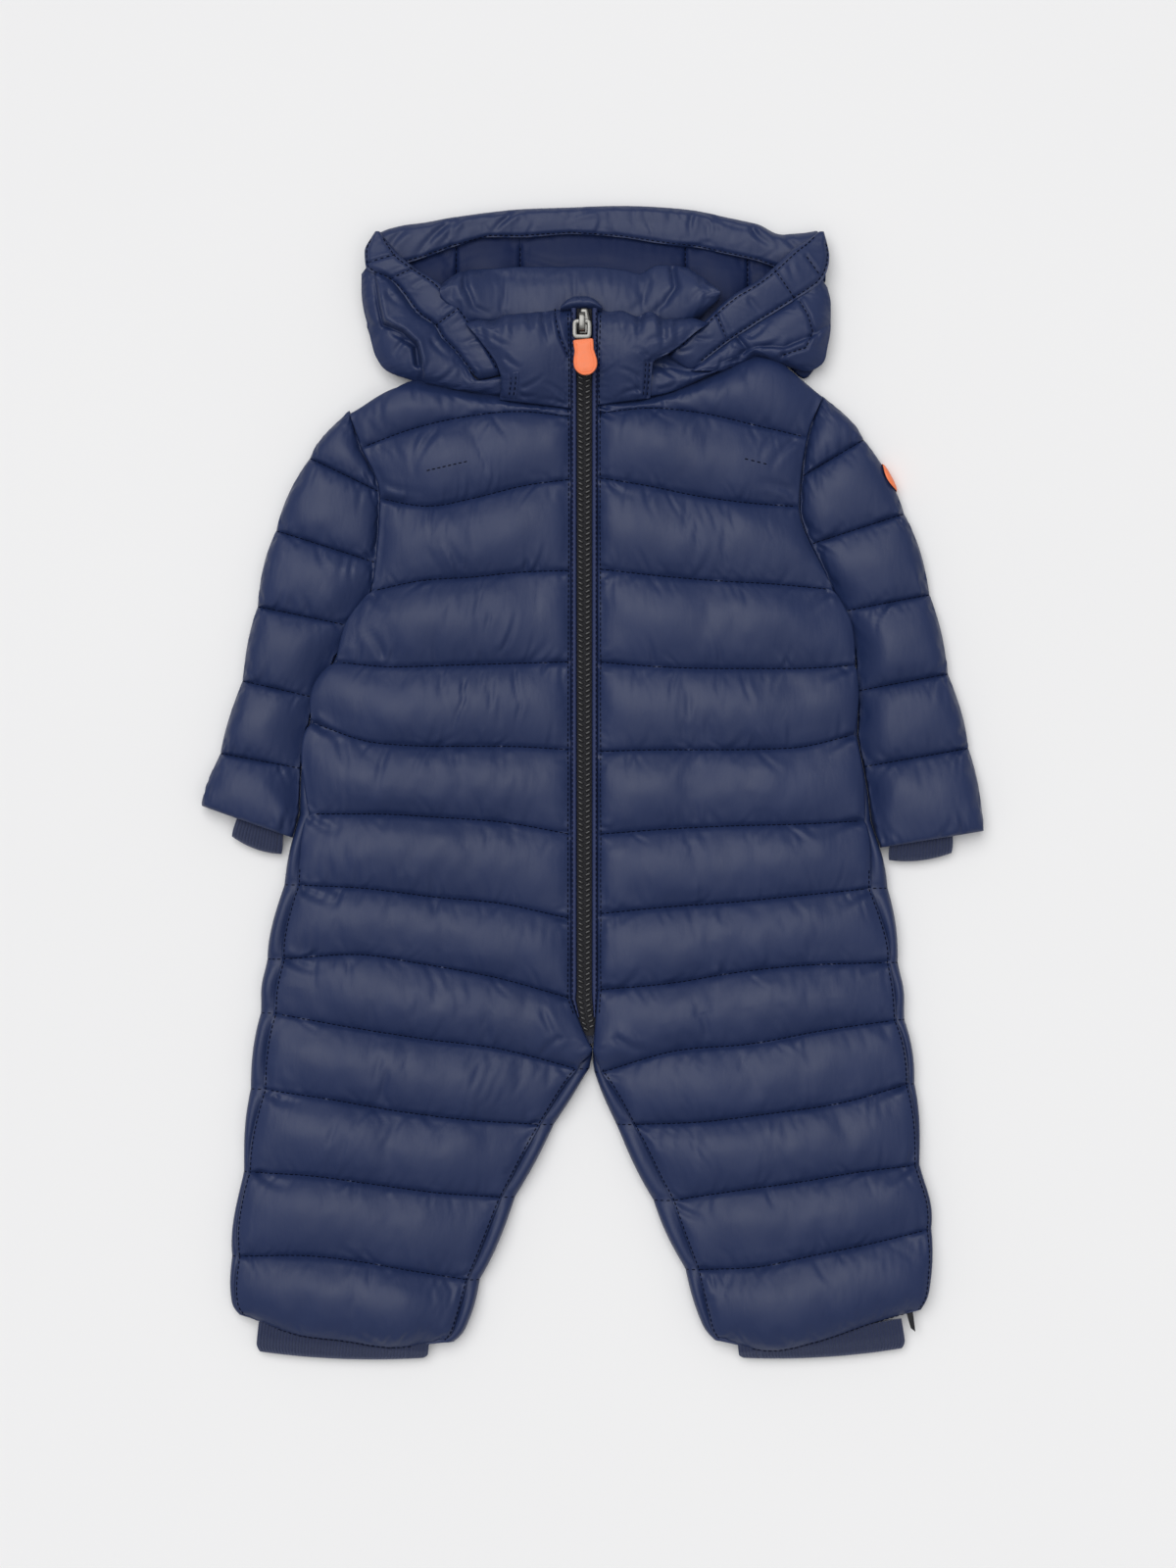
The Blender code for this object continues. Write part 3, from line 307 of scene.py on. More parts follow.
def fold_relief(surface: Points, folds: Sequence) -> Points:
    """Returns the relief of folds: a valley along each fold's line, with low banks or a step beside it."""
    relief = np.zeros(surface.shape[:2])
    for fold in folds:
        distance, along, side = np.full(relief.shape, 1e3), np.zeros(relief.shape), np.ones(relief.shape)
        lengths = np.linalg.norm(np.diff(np.asarray(fold.path, float), axis=0), axis=1)
        before = 0.0
        for start, end, length in zip(fold.path[:-1], fold.path[1:], lengths):
            run = np.subtract(end, start)
            to = surface[:, :, :2] - start
            share = np.clip((to @ run) / (run @ run), 0, 1)
            off = np.linalg.norm(to - share[:, :, None] * run, axis=2)
            nearer = off < distance
            distance = np.where(nearer, off, distance)
            along = np.where(nearer, (before + share * length) / lengths.sum(), along)
            side = np.where(nearer, np.sign(run[0] * to[:, :, 1] - run[1] * to[:, :, 0]), side)
            before += length
        off = distance / fold.width
        fade = 1.0 if fold.sewn else np.clip(1 - along, 0, 1) ** 0.6
        if fold.step:
            fade = np.sin(np.pi * np.clip(along, 0.02, 0.98)) ** 0.4
        relief += fold.depth * fade * (0.2 * np.exp(-((off - 2.2) / 1.4) ** 2) - np.exp(-off ** 2))
        relief += 0.5 * fold.step * fade * np.tanh(side * distance / 0.7) * np.exp(-distance / 7.0)
    return relief


def on_surface(surface: Points, path: Sequence, step: float = 0.8) -> Points:
    """Returns points along a line in plan, at the height of the surface's nearest points."""
    path = np.asarray(path, float)
    lengths = np.concatenate([[0.0], np.cumsum(np.linalg.norm(np.diff(path, axis=0), axis=1))])
    at = np.linspace(0, lengths[-1], max(int(lengths[-1] / step), 2))
    plan = np.stack([np.interp(at, lengths, path[:, k]) for k in range(2)], axis=1)
    flat = surface.reshape(-1, 3)
    nearest = [int(np.argmin(((flat[:, :2] - place) ** 2).sum(axis=1))) for place in plan]
    heights = np.convolve(np.pad(flat[nearest, 2], 2, "edge"), np.ones(5) / 5, "valid")
    return np.column_stack([plan, heights])


def calmed(surface: Points, keep: Points, passes: int = 10) -> Points:
    """Returns a surface smoothed along its rows, except where it is to keep its shape."""
    smooth = surface.copy()
    for _ in range(passes):
        smooth[:, 1:-1] = 0.25 * smooth[:, :-2] + 0.5 * smooth[:, 1:-1] + 0.25 * smooth[:, 2:]
    return lerp(smooth, surface, keep[:, :, None])


def runs(surface: Points, axis: int) -> Points:
    """Returns the distance in plan from a grid's first row, or first column, to each of its points."""
    step = np.linalg.norm(np.diff(surface[:, :, :2], axis=axis), axis=2)
    return np.insert(np.cumsum(step, axis=axis), 0, 0.0, axis=axis)


def sewn_relief(surface: Points, sewn: Sequence, seed: int, groove: float = 1.0, fine: float = 0.3) -> Points:
    """Returns the fine relief of quilted cloth.

    Args:
        surface: The cloth, rows by columns of places.
        sewn: The rows that are sewn down, with the first and the last.
        seed: A whole number that picks one pattern.
        groove: How deep the stitches pull the cloth.
        fine: How high the puckers beside the stitches stand.

    Returns:
        A height for each point.
    """
    sewn = np.asarray(sewn)
    index = np.clip(np.searchsorted(sewn, np.arange(len(surface)), side="right") - 1, 0, len(sewn) - 2)
    down, along = runs(surface, 0), runs(surface, 1)
    over, under = down - down[sewn[index]], down[sewn[index + 1]] - down
    nearest = np.minimum(over, under)
    shift = 37.0 * index[:, None]
    relief = fine * (gathers(along + shift, over, seed, 3.5) + gathers(along + shift + 20, under, seed, 5.0))
    west, east = along, along[:, -1:] - along
    relief = relief + fine * (gathers(down, west, seed + 5, 4.5, 2.0) + gathers(down, east, seed + 7, 5.0, 2.4))
    relief = relief * ramp(0, 0.8, np.minimum(west, east))
    x, y = surface[:, :, 0], surface[:, :, 1]
    broad = 1.1 * ripple(x + 0.3 * y, y, 34.0, seed + 9) + 0.35 * ripple(x - 0.5 * y, y + 0.2 * x, 15.0, seed + 10)
    broad = broad * ramp(0, 11, nearest) * ramp(0, 3, np.minimum(west, east))
    return relief + broad - groove * np.exp(-nearest / 0.8)


def wrinkles(surface: Points, sewn: Sequence, seed: int, spacing: float = 13.0, depth: float = 0.8) -> list:
    """Returns creases scattered along sewn rows, each running from its seam into the baffle."""
    random = np.random.default_rng(seed)
    down, along = runs(surface, 0), runs(surface, 1)
    creases = []
    for start, end in zip(sewn[:-1], sewn[1:]):
        for row, other in ((start, end), (end, start)):
            for _ in range(int(along[row, -1] / spacing)):
                column = int(random.integers(2, surface.shape[1] - 2))
                tall = abs(down[end, column] - down[start, column])
                length = min(random.uniform(6, 22), 0.75 * tall)
                lean = math.radians(float(np.clip(random.normal(0, 30), -60, 60)))
                toward = math.copysign(1.0, surface[other, column, 1] - surface[row, column, 1])
                x, y = surface[row, column, :2]
                creases.append(Crease(x, y, x + length * math.sin(lean), y + toward * length * math.cos(lean),
                                      depth * random.uniform(0.2, 1.0), random.uniform(0.9, 2.0)))
    return creases


def edge_wrinkles(surface: Points, toward: int, seed: int, spacing: float = 6.0) -> list:
    """Returns short creases that stand off a grid's first column, in x's direction or against it."""
    random = np.random.default_rng(seed)
    creases = []
    for _ in range(int(runs(surface, 0)[-1, 1] / spacing)):
        x, y = surface[int(random.integers(len(surface))), 1, :2]
        length, lean = random.uniform(3, 11), random.normal(0, 0.35)
        creases.append(Crease(x, y, x + toward * length * math.cos(lean), y + length * math.sin(lean),
                              random.uniform(0.3, 0.9), random.uniform(1.0, 1.5)))
    return creases


def catmull(values: Points, at: Points) -> Points:
    """Reads a smooth curve along the first axis of an array, at positions counted in rows."""
    last = len(values) - 1
    index = np.clip(at.astype(int), 0, last - 1)
    shape = (-1,) + (1,) * (values.ndim - 1)
    t = (at - index).reshape(shape)
    before, start = values[np.maximum(index - 1, 0)], values[index]
    end, after = values[index + 1], values[np.minimum(index + 2, last)]
    return 0.5 * (2 * start + (end - before) * t + (2 * before - 5 * start + 4 * end - after) * t ** 2
                  + (3 * start - before - 3 * end + after) * t ** 3)


def resample(surface: Points, rows: Points, columns: Points) -> Points:
    """Reads a grid of points smoothly at more rows and columns."""
    tall = catmull(surface, rows)
    return np.swapaxes(catmull(np.swapaxes(tall, 0, 1), columns), 0, 1)


def crowded(count: int, strength: float = 0.09) -> Points:
    """Returns steps from 0 up to 1 that lie closer together near both ends."""
    t = np.arange(count) / count
    return t - strength * np.sin(2 * np.pi * t)


# ---- Meshes ----

def link(name: str, mesh: bpy.types.Mesh, material: Material) -> Piece:
    """Puts a mesh into the scene as a smooth piece of one material."""
    mesh.materials.clear()
    mesh.materials.append(material)
    mesh.shade_smooth()
    piece = bpy.data.objects.new(name, mesh)
    bpy.context.scene.collection.objects.link(piece)
    return piece


def piece_from(bm: bmesh.types.BMesh, name: str, material: Material) -> Piece:
    """Makes a piece of a finished shape, and frees the shape."""
    mesh = bpy.data.meshes.new(name)
    bm.to_mesh(mesh)
    bm.free()
    return link(name, mesh, material)


def put_back(bm: bmesh.types.BMesh, piece: Piece, sharp: float) -> None:
    """Puts an edited shape back into its piece, smooth except over edges that turn more, and frees it."""
    bm.to_mesh(piece.data)
    bm.free()
    piece.data.shade_smooth()
    piece.data.set_sharp_from_angle(angle=math.radians(sharp))


def sheet_of(name: str, points: Points, material: Material, closed: bool = False) -> Piece:
    """Makes an open sheet, or a tube, from a grid of points.

    Args:
        name: The piece's name.
        points: Rows by columns of places, in millimetres.
        material: What the sheet is made of.
        closed: Whether the last column joins the first.

    Returns:
        The new object.
    """
    rows, columns = points.shape[:2]
    if closed:
        points = np.concatenate([points, points[:, :1]], axis=1)
        columns += 1
    bm = bmesh.new()
    bmesh.ops.create_grid(bm, x_segments=columns - 1, y_segments=rows - 1, size=1.0)
    for vert, place in zip(bm.verts, points.reshape(-1, 3) * MM):
        vert.co = place
    if closed:
        bm.verts.ensure_lookup_table()
        ends = {bm.verts[row * columns + columns - 1]: bm.verts[row * columns] for row in range(rows)}
        bmesh.ops.weld_verts(bm, targetmap=ends)
    return piece_from(bm, name, material)


def face_up(piece: Piece) -> None:
    """Turns a sheet's faces over if they look down."""
    if sum(face.normal.z * face.area for face in piece.data.polygons) < 0:
        piece.data.flip_normals()


def read_points(piece: Piece) -> Points:
    """Returns the places of a piece's vertices, in millimetres."""
    places = np.empty(len(piece.data.vertices) * 3)
    piece.data.vertices.foreach_get("co", places)
    return places.reshape(-1, 3) / MM


def write_points(piece: Piece, points: Points) -> None:
    """Puts a piece's vertices at new places, in millimetres."""
    piece.data.vertices.foreach_set("co", (points.reshape(-1, 3) * MM).ravel())
    piece.data.update()


def close_wall(piece: Piece, under: Points) -> None:
    """Turns a sheet into a closed wall whose other face has one point for each of the sheet's points.

    Args:
        piece: The sheet.
        under: The other face's points in the sheet's order, in millimetres.
    """
    bm = bmesh.new()
    bm.from_mesh(piece.data)
    place = bm.verts.layers.int.new("place")
    for index, vert in enumerate(bm.verts):
        vert[place] = index
    made = bmesh.ops.extrude_face_region(bm, geom=bm.faces[:], use_keep_orig=True)
    below = under.reshape(-1, 3) * MM
    for item in made["geom"]:
        if isinstance(item, bmesh.types.BMVert):
            item.co = below[item[place]]
    bm.verts.layers.int.remove(place)
    bmesh.ops.recalc_face_normals(bm, faces=bm.faces)
    if bm.calc_volume(signed=True) < 0:
        bmesh.ops.reverse_faces(bm, faces=bm.faces)
    put_back(bm, piece, 75)


@dataclass(frozen=True)
class Settle:
    """How padded cloth is blown up between its seams by the cloth solver.

    Attributes:
        pressure: How hard the filling pushes.
        frames: How long it pushes, in frames.
        quality: The solver's steps for each frame.
        mass: Of each point of the cloth.
        bending: How stiffly the cloth bends.
        tension: How stiffly it stretches.
        damping: How fast stretching dies down.
        drag: How much the air slows the cloth.
        scale: How much larger the sheet is than real while the solver runs.
        cap: The farthest that a point may move, in millimetres.
        growth: The share by which the cloth is cut larger than its place.
        noise: How rough the sheet is to start with, in millimetres.
    """

    pressure: float = 8.0
    frames: int = 20
    quality: int = 6
    mass: float = 0.02
    bending: float = 0.08
    tension: float = 15.0
    damping: float = 5.0
    drag: float = 2.0
    scale: float = 10.0
    cap: float = 8.0
    growth: float = 0.018
    noise: float = 0.6

    def swollen(self, points: Points, nylon: Material, rows: Sequence = (), columns: Sequence = ()) -> Points:
        """Returns a sheet's points after it has swelled, held at its edges and at the rows and columns named."""
        pins = np.zeros(points.shape[:2])
        pins[(0, -1, *rows), :] = pins[:, (0, -1, *columns)] = 1.0
        trial = sheet_of("trial", points, nylon)
        face_up(trial)
        self.run(trial, pins.ravel())
        surface = read_points(trial).reshape(points.shape)
        bpy.data.objects.remove(trial)
        return surface

    def run(self, piece: Piece, pins: Points) -> None:
        """Lets an open sheet swell from its place, held at its pinned points.

        Args:
            piece: The sheet, whose faces point the way the filling pushes.
            pins: How firmly each vertex is held, 0 to 1.
        """
        start = read_points(piece)
        rough = start.copy()
        rough[:, 2] += self.noise * ripple(start[:, 0] + 0.4 * start[:, 1], 0.5 * start[:, 1], 11.0, 3) * (1 - pins)
        write_points(piece, rough * self.scale)
        group = piece.vertex_groups.new(name="held")
        for weight in np.unique(np.round(pins, 2)):
            if weight > 0:
                where = np.nonzero(np.abs(pins - weight) < 0.005)[0]
                group.add([int(index) for index in where], float(weight), "REPLACE")
        cloth = piece.modifiers.new("cloth", "CLOTH")
        feel = {
            "quality": self.quality, "mass": self.mass, "tension_stiffness": self.tension,
            "compression_stiffness": self.tension, "shear_stiffness": self.tension / 3,
            "bending_stiffness": self.bending, "tension_damping": self.damping, "compression_damping": self.damping,
            "air_damping": self.drag, "vertex_group_mass": group.name, "pin_stiffness": 1.0,
            "shrink_min": -self.growth, "shrink_max": -self.growth, "use_pressure": True,
            "uniform_pressure_force": self.pressure,
        }
        for name, value in feel.items():
            setattr(cloth.settings, name, value)
        cloth.settings.effector_weights.gravity = 0.0
        cloth.collision_settings.use_collision = False
        cloth.point_cache.frame_start = 1
        cloth.point_cache.frame_end = self.frames + 1
        scene = bpy.context.scene
        for frame in range(1, self.frames + 1):
            scene.frame_set(frame)
        graph = bpy.context.evaluated_depsgraph_get()
        settled = piece.evaluated_get(graph)
        places = np.empty(len(piece.data.vertices) * 3)
        settled.data.vertices.foreach_get("co", places)
        places = places.reshape(-1, 3) / MM / self.scale
        piece.modifiers.clear()
        piece.vertex_groups.clear()
        scene.frame_set(1)
        moved = places - start
        far = np.linalg.norm(moved, axis=1, keepdims=True)
        LOG.info("%s settled: moved %.1f mm on average, %.1f at most", piece.name, far.mean(), far.max())
        write_points(piece, start + moved * np.minimum(1.0, self.cap / np.maximum(far, 1e-6)))


# ---- Body ----

def line_height(side: Side, stations: Points, shares: Points, rise: Sequence = (0, 0, 0, 0, 0)) -> Points:
    """Returns how far up the suit points lie, for each row and each share of the way to the side seam."""
    heights = np.array(QUILT[side], float)[:, :len(rise)].T
    heights[:, 0] += rise
    table = curve(heights, stations).T
    if np.ndim(shares) == 1:
        return curve(table, shares * 4)
    return np.stack([curve(row, share * 4) for row, share in zip(table, shares)])


def edge_x(side: Side, stations: Points, edge: str) -> Points:
    """Returns where rows meet one of their edges: x_zip, x_seam, x_outline or x_leg."""
    values = [getattr(line, edge) for line in QUILT[side]]
    corner = HEM_CORNER * side.value * ramp(LAST_ROW - 0.22, LAST_ROW, stations) ** 2
    if edge in ("x_zip", "x_leg"):
        return np.interp(stations, range(len(values)), values) + corner
    return curve(values, stations) - corner


def baffle_step(stations: Points) -> tuple:
    """Returns the sewn rows above and below each row, and the share of the way between them."""
    above = np.minimum(stations.astype(int), LAST_ROW - 1)
    below = above + 1
    crotch = (above == CROTCH_ROW - 1) | (above == CROTCH_ROW)
    above, below = np.where(crotch, CROTCH_ROW - 1, above), np.where(crotch, CROTCH_ROW + 1, below)
    return above, below, (stations - above) / (below - above)


def swell(stations: Points) -> Points:
    """Returns 0 on each sewn row and 1 in the middle of a baffle."""
    return np.maximum(np.sin(np.pi * baffle_step(stations)[2]), 0)


def scallop(stations: Points) -> Points:
    """Returns how far a free edge bulges beyond its sewn points, below the sleeves."""
    return SCALLOP * swell(stations) * ramp(4, 5, stations)


OVERHANG_ROWS = (2.9, 3.0, 3.4, 4.0, 5.0, 6.0, 6.6)
OVERHANG = {Side.RIGHT: (0.0, 5.0, 8.0, 6.5, 5.0, 3.0, 0.0), Side.LEFT: (0.0, 2.5, 4.0, 2.2, 1.5, 1.5, 0.0)}


def overhang(side: Side, stations: Points) -> Points:
    """Returns how far the front's baffle ends lie over the sleeve, between the armhole and the hip."""
    step = baffle_step(stations)[2]
    size = np.interp(stations, OVERHANG_ROWS, OVERHANG[side])
    return size * np.sin(np.pi * np.clip(step, 0, 1) ** 0.62)


def outline_x(side: Side, stations: Points) -> Points:
    """Returns the body's outermost x on each row."""
    sign = side.value
    narrowest = sign * edge_x(side, stations, "x_seam") + SEAM_GAP + 0.8
    return sign * (np.maximum(sign * edge_x(side, stations, "x_outline"), narrowest) + scallop(stations))


def sewn_rows(stations: Points, *skipped: int) -> list:
    """Returns which of a piece's rows lie on sewn lines, leaving out the lines skipped."""
    return [k for k, row in enumerate(stations) if abs(row - round(row)) < 1e-6 and round(row) not in skipped]


def even(count: int) -> Points:
    """Returns even steps from 0 up to 1."""
    return np.arange(count) / count


def body_stations(baffle_rows: int, spacing: Callable = even) -> Points:
    """Returns the rows of a front or back, counted in quilt lines from the neck down."""
    steps = []
    for baffle in range(LAST_ROW):
        share = {0: 0.5, CROTCH_ROW - 1: 0.6, CROTCH_ROW: 0.4}.get(baffle, 1.0)
        steps.append(baffle + spacing(round(baffle_rows * share)))
    return np.concatenate(steps + [np.array([float(LAST_ROW)])])


CHEST_DASHES = {Side.RIGHT: (((-98.5, 183.3), (-73.5, 189)),), Side.LEFT: (((88.8, 190.8), (103.4, 187.3)),)}
FRONT_CREASES = {
    Side.RIGHT: rows_of(
        Crease, (-93, 207, -107, 181, 1.5, 2.0), (-103, 206, -107, 184, 0.9, 1.6), (-118, 205, -112, 190, 0.9, 2.0),
        (-61, 213, -69, 201, 0.7, 1.2), (-125, 169, -104, 166, 1.6, 2.4), (-124, 176, -98, 171, 0.9, 2.0),
        (-78, 127, -88, 143, 1.1, 2.2), (-40, 124, -40, 138, 1.0, 1.3), (-35, 124, -28, 142, 1.0, 1.5),
        (-131, 112, -120, 101, 2.2, 2.4), (-123, 73, -136, 92, 1.5, 2.6), (-54, 77, -45, 100, 1.3, 1.6),
        (-60, 99, -63, 85, 0.8, 1.6), (-76, 60, -76, 47, 1.2, 1.3), (-75, 50, -83, 26, 1.0, 1.3),
        (-46, 68, -42, 44, 1.1, 1.4), (-42, 46, -45, 28, 0.9, 1.3), (-166, 36, -149, 27, 2.2, 2.2),
        (-150, 26, -144, 8, 1.2, 2.2), (-120, 22, -127, -6, 1.0, 2.0), (-98, 21, -106, 2, 0.8, 1.6),
        (-170, -20, -150, -30, 1.8, 2.2), (-174, -62, -150, -72, 1.8, 2.4), (-183, -104, -158, -112, 1.8, 2.4),
        (-30, -134, -16, -158, 1.3, 2.2), (-18, -150, -34, -166, 1.2, 2.0), (-196, -183, -172, -190, 1.8, 2.4),
        (-200, -230, -180, -240, 1.6, 2.2),
    ),
    Side.LEFT: rows_of(
        Crease, (120, 203, 104, 184, 1.3, 2.0), (108, 207, 98, 190, 0.8, 1.6), (118, 172, 96, 177, 1.4, 2.2),
        (8, 178, 26, 168, 0.8, 1.4), (32, 124, 24, 140, 0.8, 1.4), (60, 120, 72, 143, 1.0, 2.0),
        (12, 122, 10, 134, 0.8, 1.2), (141, 113, 128, 103, 2.0, 2.4), (36, 70, 30, 88, 1.0, 1.6),
        (76, 68, 70, 90, 0.9, 1.8), (155, 68, 136, 60, 1.6, 2.2), (50, 66, 46, 46, 0.9, 1.4),
        (88, 66, 96, 44, 0.9, 1.6), (157, 28, 138, 18, 1.8, 2.2), (160, -22, 140, -30, 1.6, 2.2),
        (166, -64, 146, -74, 1.8, 2.4), (14, -124, 30, -108, 1.1, 2.0), (12, -150, 34, -160, 1.6, 2.4),
        (178, -106, 158, -112, 1.6, 2.4), (186, -180, 164, -190, 1.6, 2.2), (190, -228, 172, -240, 1.6, 2.2),
        (48, -250, 66, -258, 1.4, 2.0),
    ),
}


@dataclass
class Front:
    """One quilted front, body and leg in one."""

    side: Side
    nylon: Material
    baffle_rows: int = 18
    columns: int = 56
    fine_rows: int = 28
    fine_columns: int = 124
    crease_spacing: float = 10.0
    tuck: float = 4.5
    tuck_depth: float = 5.0
    hem_drop: float = 3.5

    def plan(self, stations: Points, shares: Points) -> tuple:
        """Returns the panel's x and y in plan, rows by columns."""
        start, end = edge_x(self.side, stations, "x_zip"), edge_x(self.side, stations, "x_seam")
        end = end + self.side.value * (scallop(stations) + overhang(self.side, stations))
        return start[:, None] + (end - start)[:, None] * shares, line_height(self.side, stations, shares)

    def height(self, stations: Points, shares: Points, puff: float) -> Points:
        """Returns the outside height: sewn lines with baffles puffed up between them."""
        at_leg = ramp(CROTCH_ROW, CROTCH_ROW + 1.5, stations)[:, None]
        inner_edge = lerp(ZIP_EDGE_HEIGHT, SIDE_SEAM_HEIGHT, at_leg)
        inner = 1 - ease(0, 1, shares / lerp(0.1, 0.3, at_leg))
        outer = ramp(0.6, 1, shares)
        sewn = SEWN_HEIGHT - (SEWN_HEIGHT - inner_edge) * inner
        sewn = sewn - (SEWN_HEIGHT - SIDE_SEAM_HEIGHT) * outer ** 2
        above, below, _ = baffle_step(stations)
        lines = line_height(self.side, np.arange(LAST_ROW + 1.0), shares)
        depth = lines[above] - lines[below]
        off_zip = 0.35 + 0.3 * ease(0, 0.03, shares) + 0.35 * ease(0, 0.34, shares)
        fullness = ramp(4, 34, depth) * off_zip * (1 - 0.65 * outer ** 2)
        hem = self.hem_drop * (ramp(LAST_ROW - 0.12, LAST_ROW, stations) ** 2)[:, None]
        return sewn + puff * fullness * (swell(stations) ** 0.66)[:, None] - hem

    def build(self, cloth: Settle) -> Piece:
        """Builds the front and lets it swell between its seams."""
        stations, shares = body_stations(self.baffle_rows), np.linspace(0, 1, self.columns)
        x, y = self.plan(stations, shares)
        points = np.stack([x, y, self.height(stations, shares, PUFF * PUFF_AT_FIRST)], axis=2)
        surface = cloth.swollen(points, self.nylon, sewn_rows(stations, CROTCH_ROW))
        fine = body_stations(self.fine_rows, crowded)
        rows = np.interp(fine, stations, np.arange(len(stations)))
        surface = resample(surface, rows, np.linspace(0, 1, self.fine_columns) * (self.columns - 1))
        keep = ramp(0.1, 0.7, ripple(surface[:, :, 0], surface[:, :, 1], 30.0, 21)) * 0.8
        surface = calmed(surface, keep)
        self.sewn_rows = sewn_rows(fine, CROTCH_ROW)
        seed = 50 + 20 * self.side.value
        creases = list(FRONT_CREASES[self.side]) + wrinkles(surface, self.sewn_rows, seed, self.crease_spacing)
        creases += edge_wrinkles(surface, self.side.value, seed + 1)
        surface[:, :, 2] += sewn_relief(surface, self.sewn_rows, seed) + crease_relief(surface, creases)
        tucked = ramp(116, 106, abs(surface[0, :, 0])) * ramp(0, 3, abs(surface[0, :, 0] - surface[0, 0, 0]))
        surface[0, :, 1] += self.tuck * tucked
        surface[0, :, 2] -= self.tuck_depth * tucked
        self.surface = surface
        piece = sheet_of(f"quilted_front_{self.side.word}", surface, self.nylon)
        face_up(piece)
        under = surface.copy()
        under[:, :, 2] = BACK_INSIDE + SEAM_GAP
        close_wall(piece, under)
        return piece


@dataclass
class Back:
    """One quilted back, whose edges wrap up beside the front at the side and along the inner leg."""

    side: Side
    nylon: Material
    baffle_rows: int = 14
    wrap_columns: int = 9
    puff: float = 3.2
    turn_in: tuple = (0.4, 1.8, EDGE_ROUND - 0.3)
    turn_levels: tuple = (3.4, 1.2, 0.25)
    stitch_depth: float = 1.1

    def wrap(self, wall: Points, edge: Points, rim: Points, stations: Points) -> tuple:
        """Returns x and z from the seam's rim over to the widest point, then round to the floor.

        Args:
            wall: Where the back stands against the front's edge, for each row.
            edge: The widest point of each row.
            rim: How high the back stands against the front.
            stations: The rows.
        """
        turn = np.linspace(0, np.pi / 2, self.wrap_columns)
        width = (edge - wall)[:, None]
        fullness = (swell(stations) ** 0.75)[:, None] * ramp(1.5, 7, abs(width))
        x = wall[:, None] + width * np.sin(turn)
        z = OUTLINE_HEIGHT + (rim[:, None] - OUTLINE_HEIGHT) * np.cos(turn)
        z = z + self.puff * fullness * np.sin(turn * 2) ** 0.8
        under = np.sign(edge - wall)[:, None] * self.turn_in
        x = np.concatenate([x, edge[:, None] - under], axis=1)
        return x, np.concatenate([z, np.ones(under.shape) * self.turn_levels], axis=1)

    def build(self) -> Piece:
        """Builds the back."""
        sign = self.side.value
        stations = body_stations(self.baffle_rows)
        leg = ramp(CROTCH_ROW, CROTCH_ROW + 1, stations)
        wrap_leg = ramp(CROTCH_ROW + 0.28, CROTCH_ROW + 1, stations)
        bulge = sign * scallop(stations)
        zip_end = edge_x(self.side, stations, "x_zip")
        seam = edge_x(self.side, stations, "x_seam") + bulge
        last = outline_x(self.side, stations)
        wrap_side = ramp(1.5, 5, abs(last - seam))
        rim = SIDE_SEAM_HEIGHT - 0.3
        outer_x, outer_z = self.wrap(seam + sign * SEAM_GAP, last, lerp(BACK_INSIDE - 1, rim, wrap_side), stations)
        middle = np.full(len(stations), sign * SEAM_GAP / 2)
        wall = sign * np.maximum(sign * zip_end - SEAM_GAP, SEAM_GAP / 2 + 0.2)
        edge = edge_x(self.side, stations, "x_leg") - bulge * leg
        edge = sign * np.maximum(np.minimum(sign * edge, sign * wall - 0.2), SEAM_GAP / 2)
        inner_x, inner_z = self.wrap(wall, edge, lerp(BACK_INSIDE - 1, rim, wrap_leg), stations)
        inner_x, inner_z = inner_x[:, ::-1], inner_z[:, ::-1]
        straight = middle[:, None] + sign * np.linspace(0, 12, inner_x.shape[1])
        on_body = (stations < CROTCH_ROW)[:, None]
        inner_x = np.where(on_body, straight, inner_x)
        inner_z = np.where(on_body, BACK_INSIDE, inner_z)
        plane = np.linspace(0.0, 1.0, 10)[1:-1]
        plane_x = inner_x[:, -1:] + sign * 0.1 + (outer_x[:, :1] - inner_x[:, -1:] - sign * 0.2) * plane
        plane_z = np.full(plane_x.shape, BACK_INSIDE)
        x = np.concatenate([inner_x, plane_x, outer_x], axis=1)
        z = np.concatenate([inner_z, plane_z, outer_z], axis=1)
        self.sewn_rows = sewn_rows(stations, 0, CROTCH_ROW, LAST_ROW)
        z[self.sewn_rows] -= self.stitch_depth * np.clip((z[self.sewn_rows] - OUTLINE_HEIGHT) / 3, 0, 1)

        def heights(x: Points) -> Points:
            """Returns how far up the suit points lie."""
            shares = np.clip((x - zip_end[:, None]) / (seam - zip_end)[:, None], 0, 1)
            return line_height(self.side, stations, shares, NECK_RISE)

        self.surface = np.dstack([x, heights(x), z])
        piece = sheet_of(f"quilted_back_{self.side.word}", self.surface, self.nylon)
        face_up(piece)
        floor_start = inner_x[:, :1] + sign * EDGE_ROUND * leg[:, None]
        floor_end = last[:, None] - sign * EDGE_ROUND
        floor_x = lerp(floor_start, floor_end, np.linspace(0, 1, x.shape[1]))
        close_wall(piece, np.dstack([floor_x, heights(floor_x), np.zeros_like(floor_x)]))
        return piece


# ---- Sleeves and knitted cuffs ----

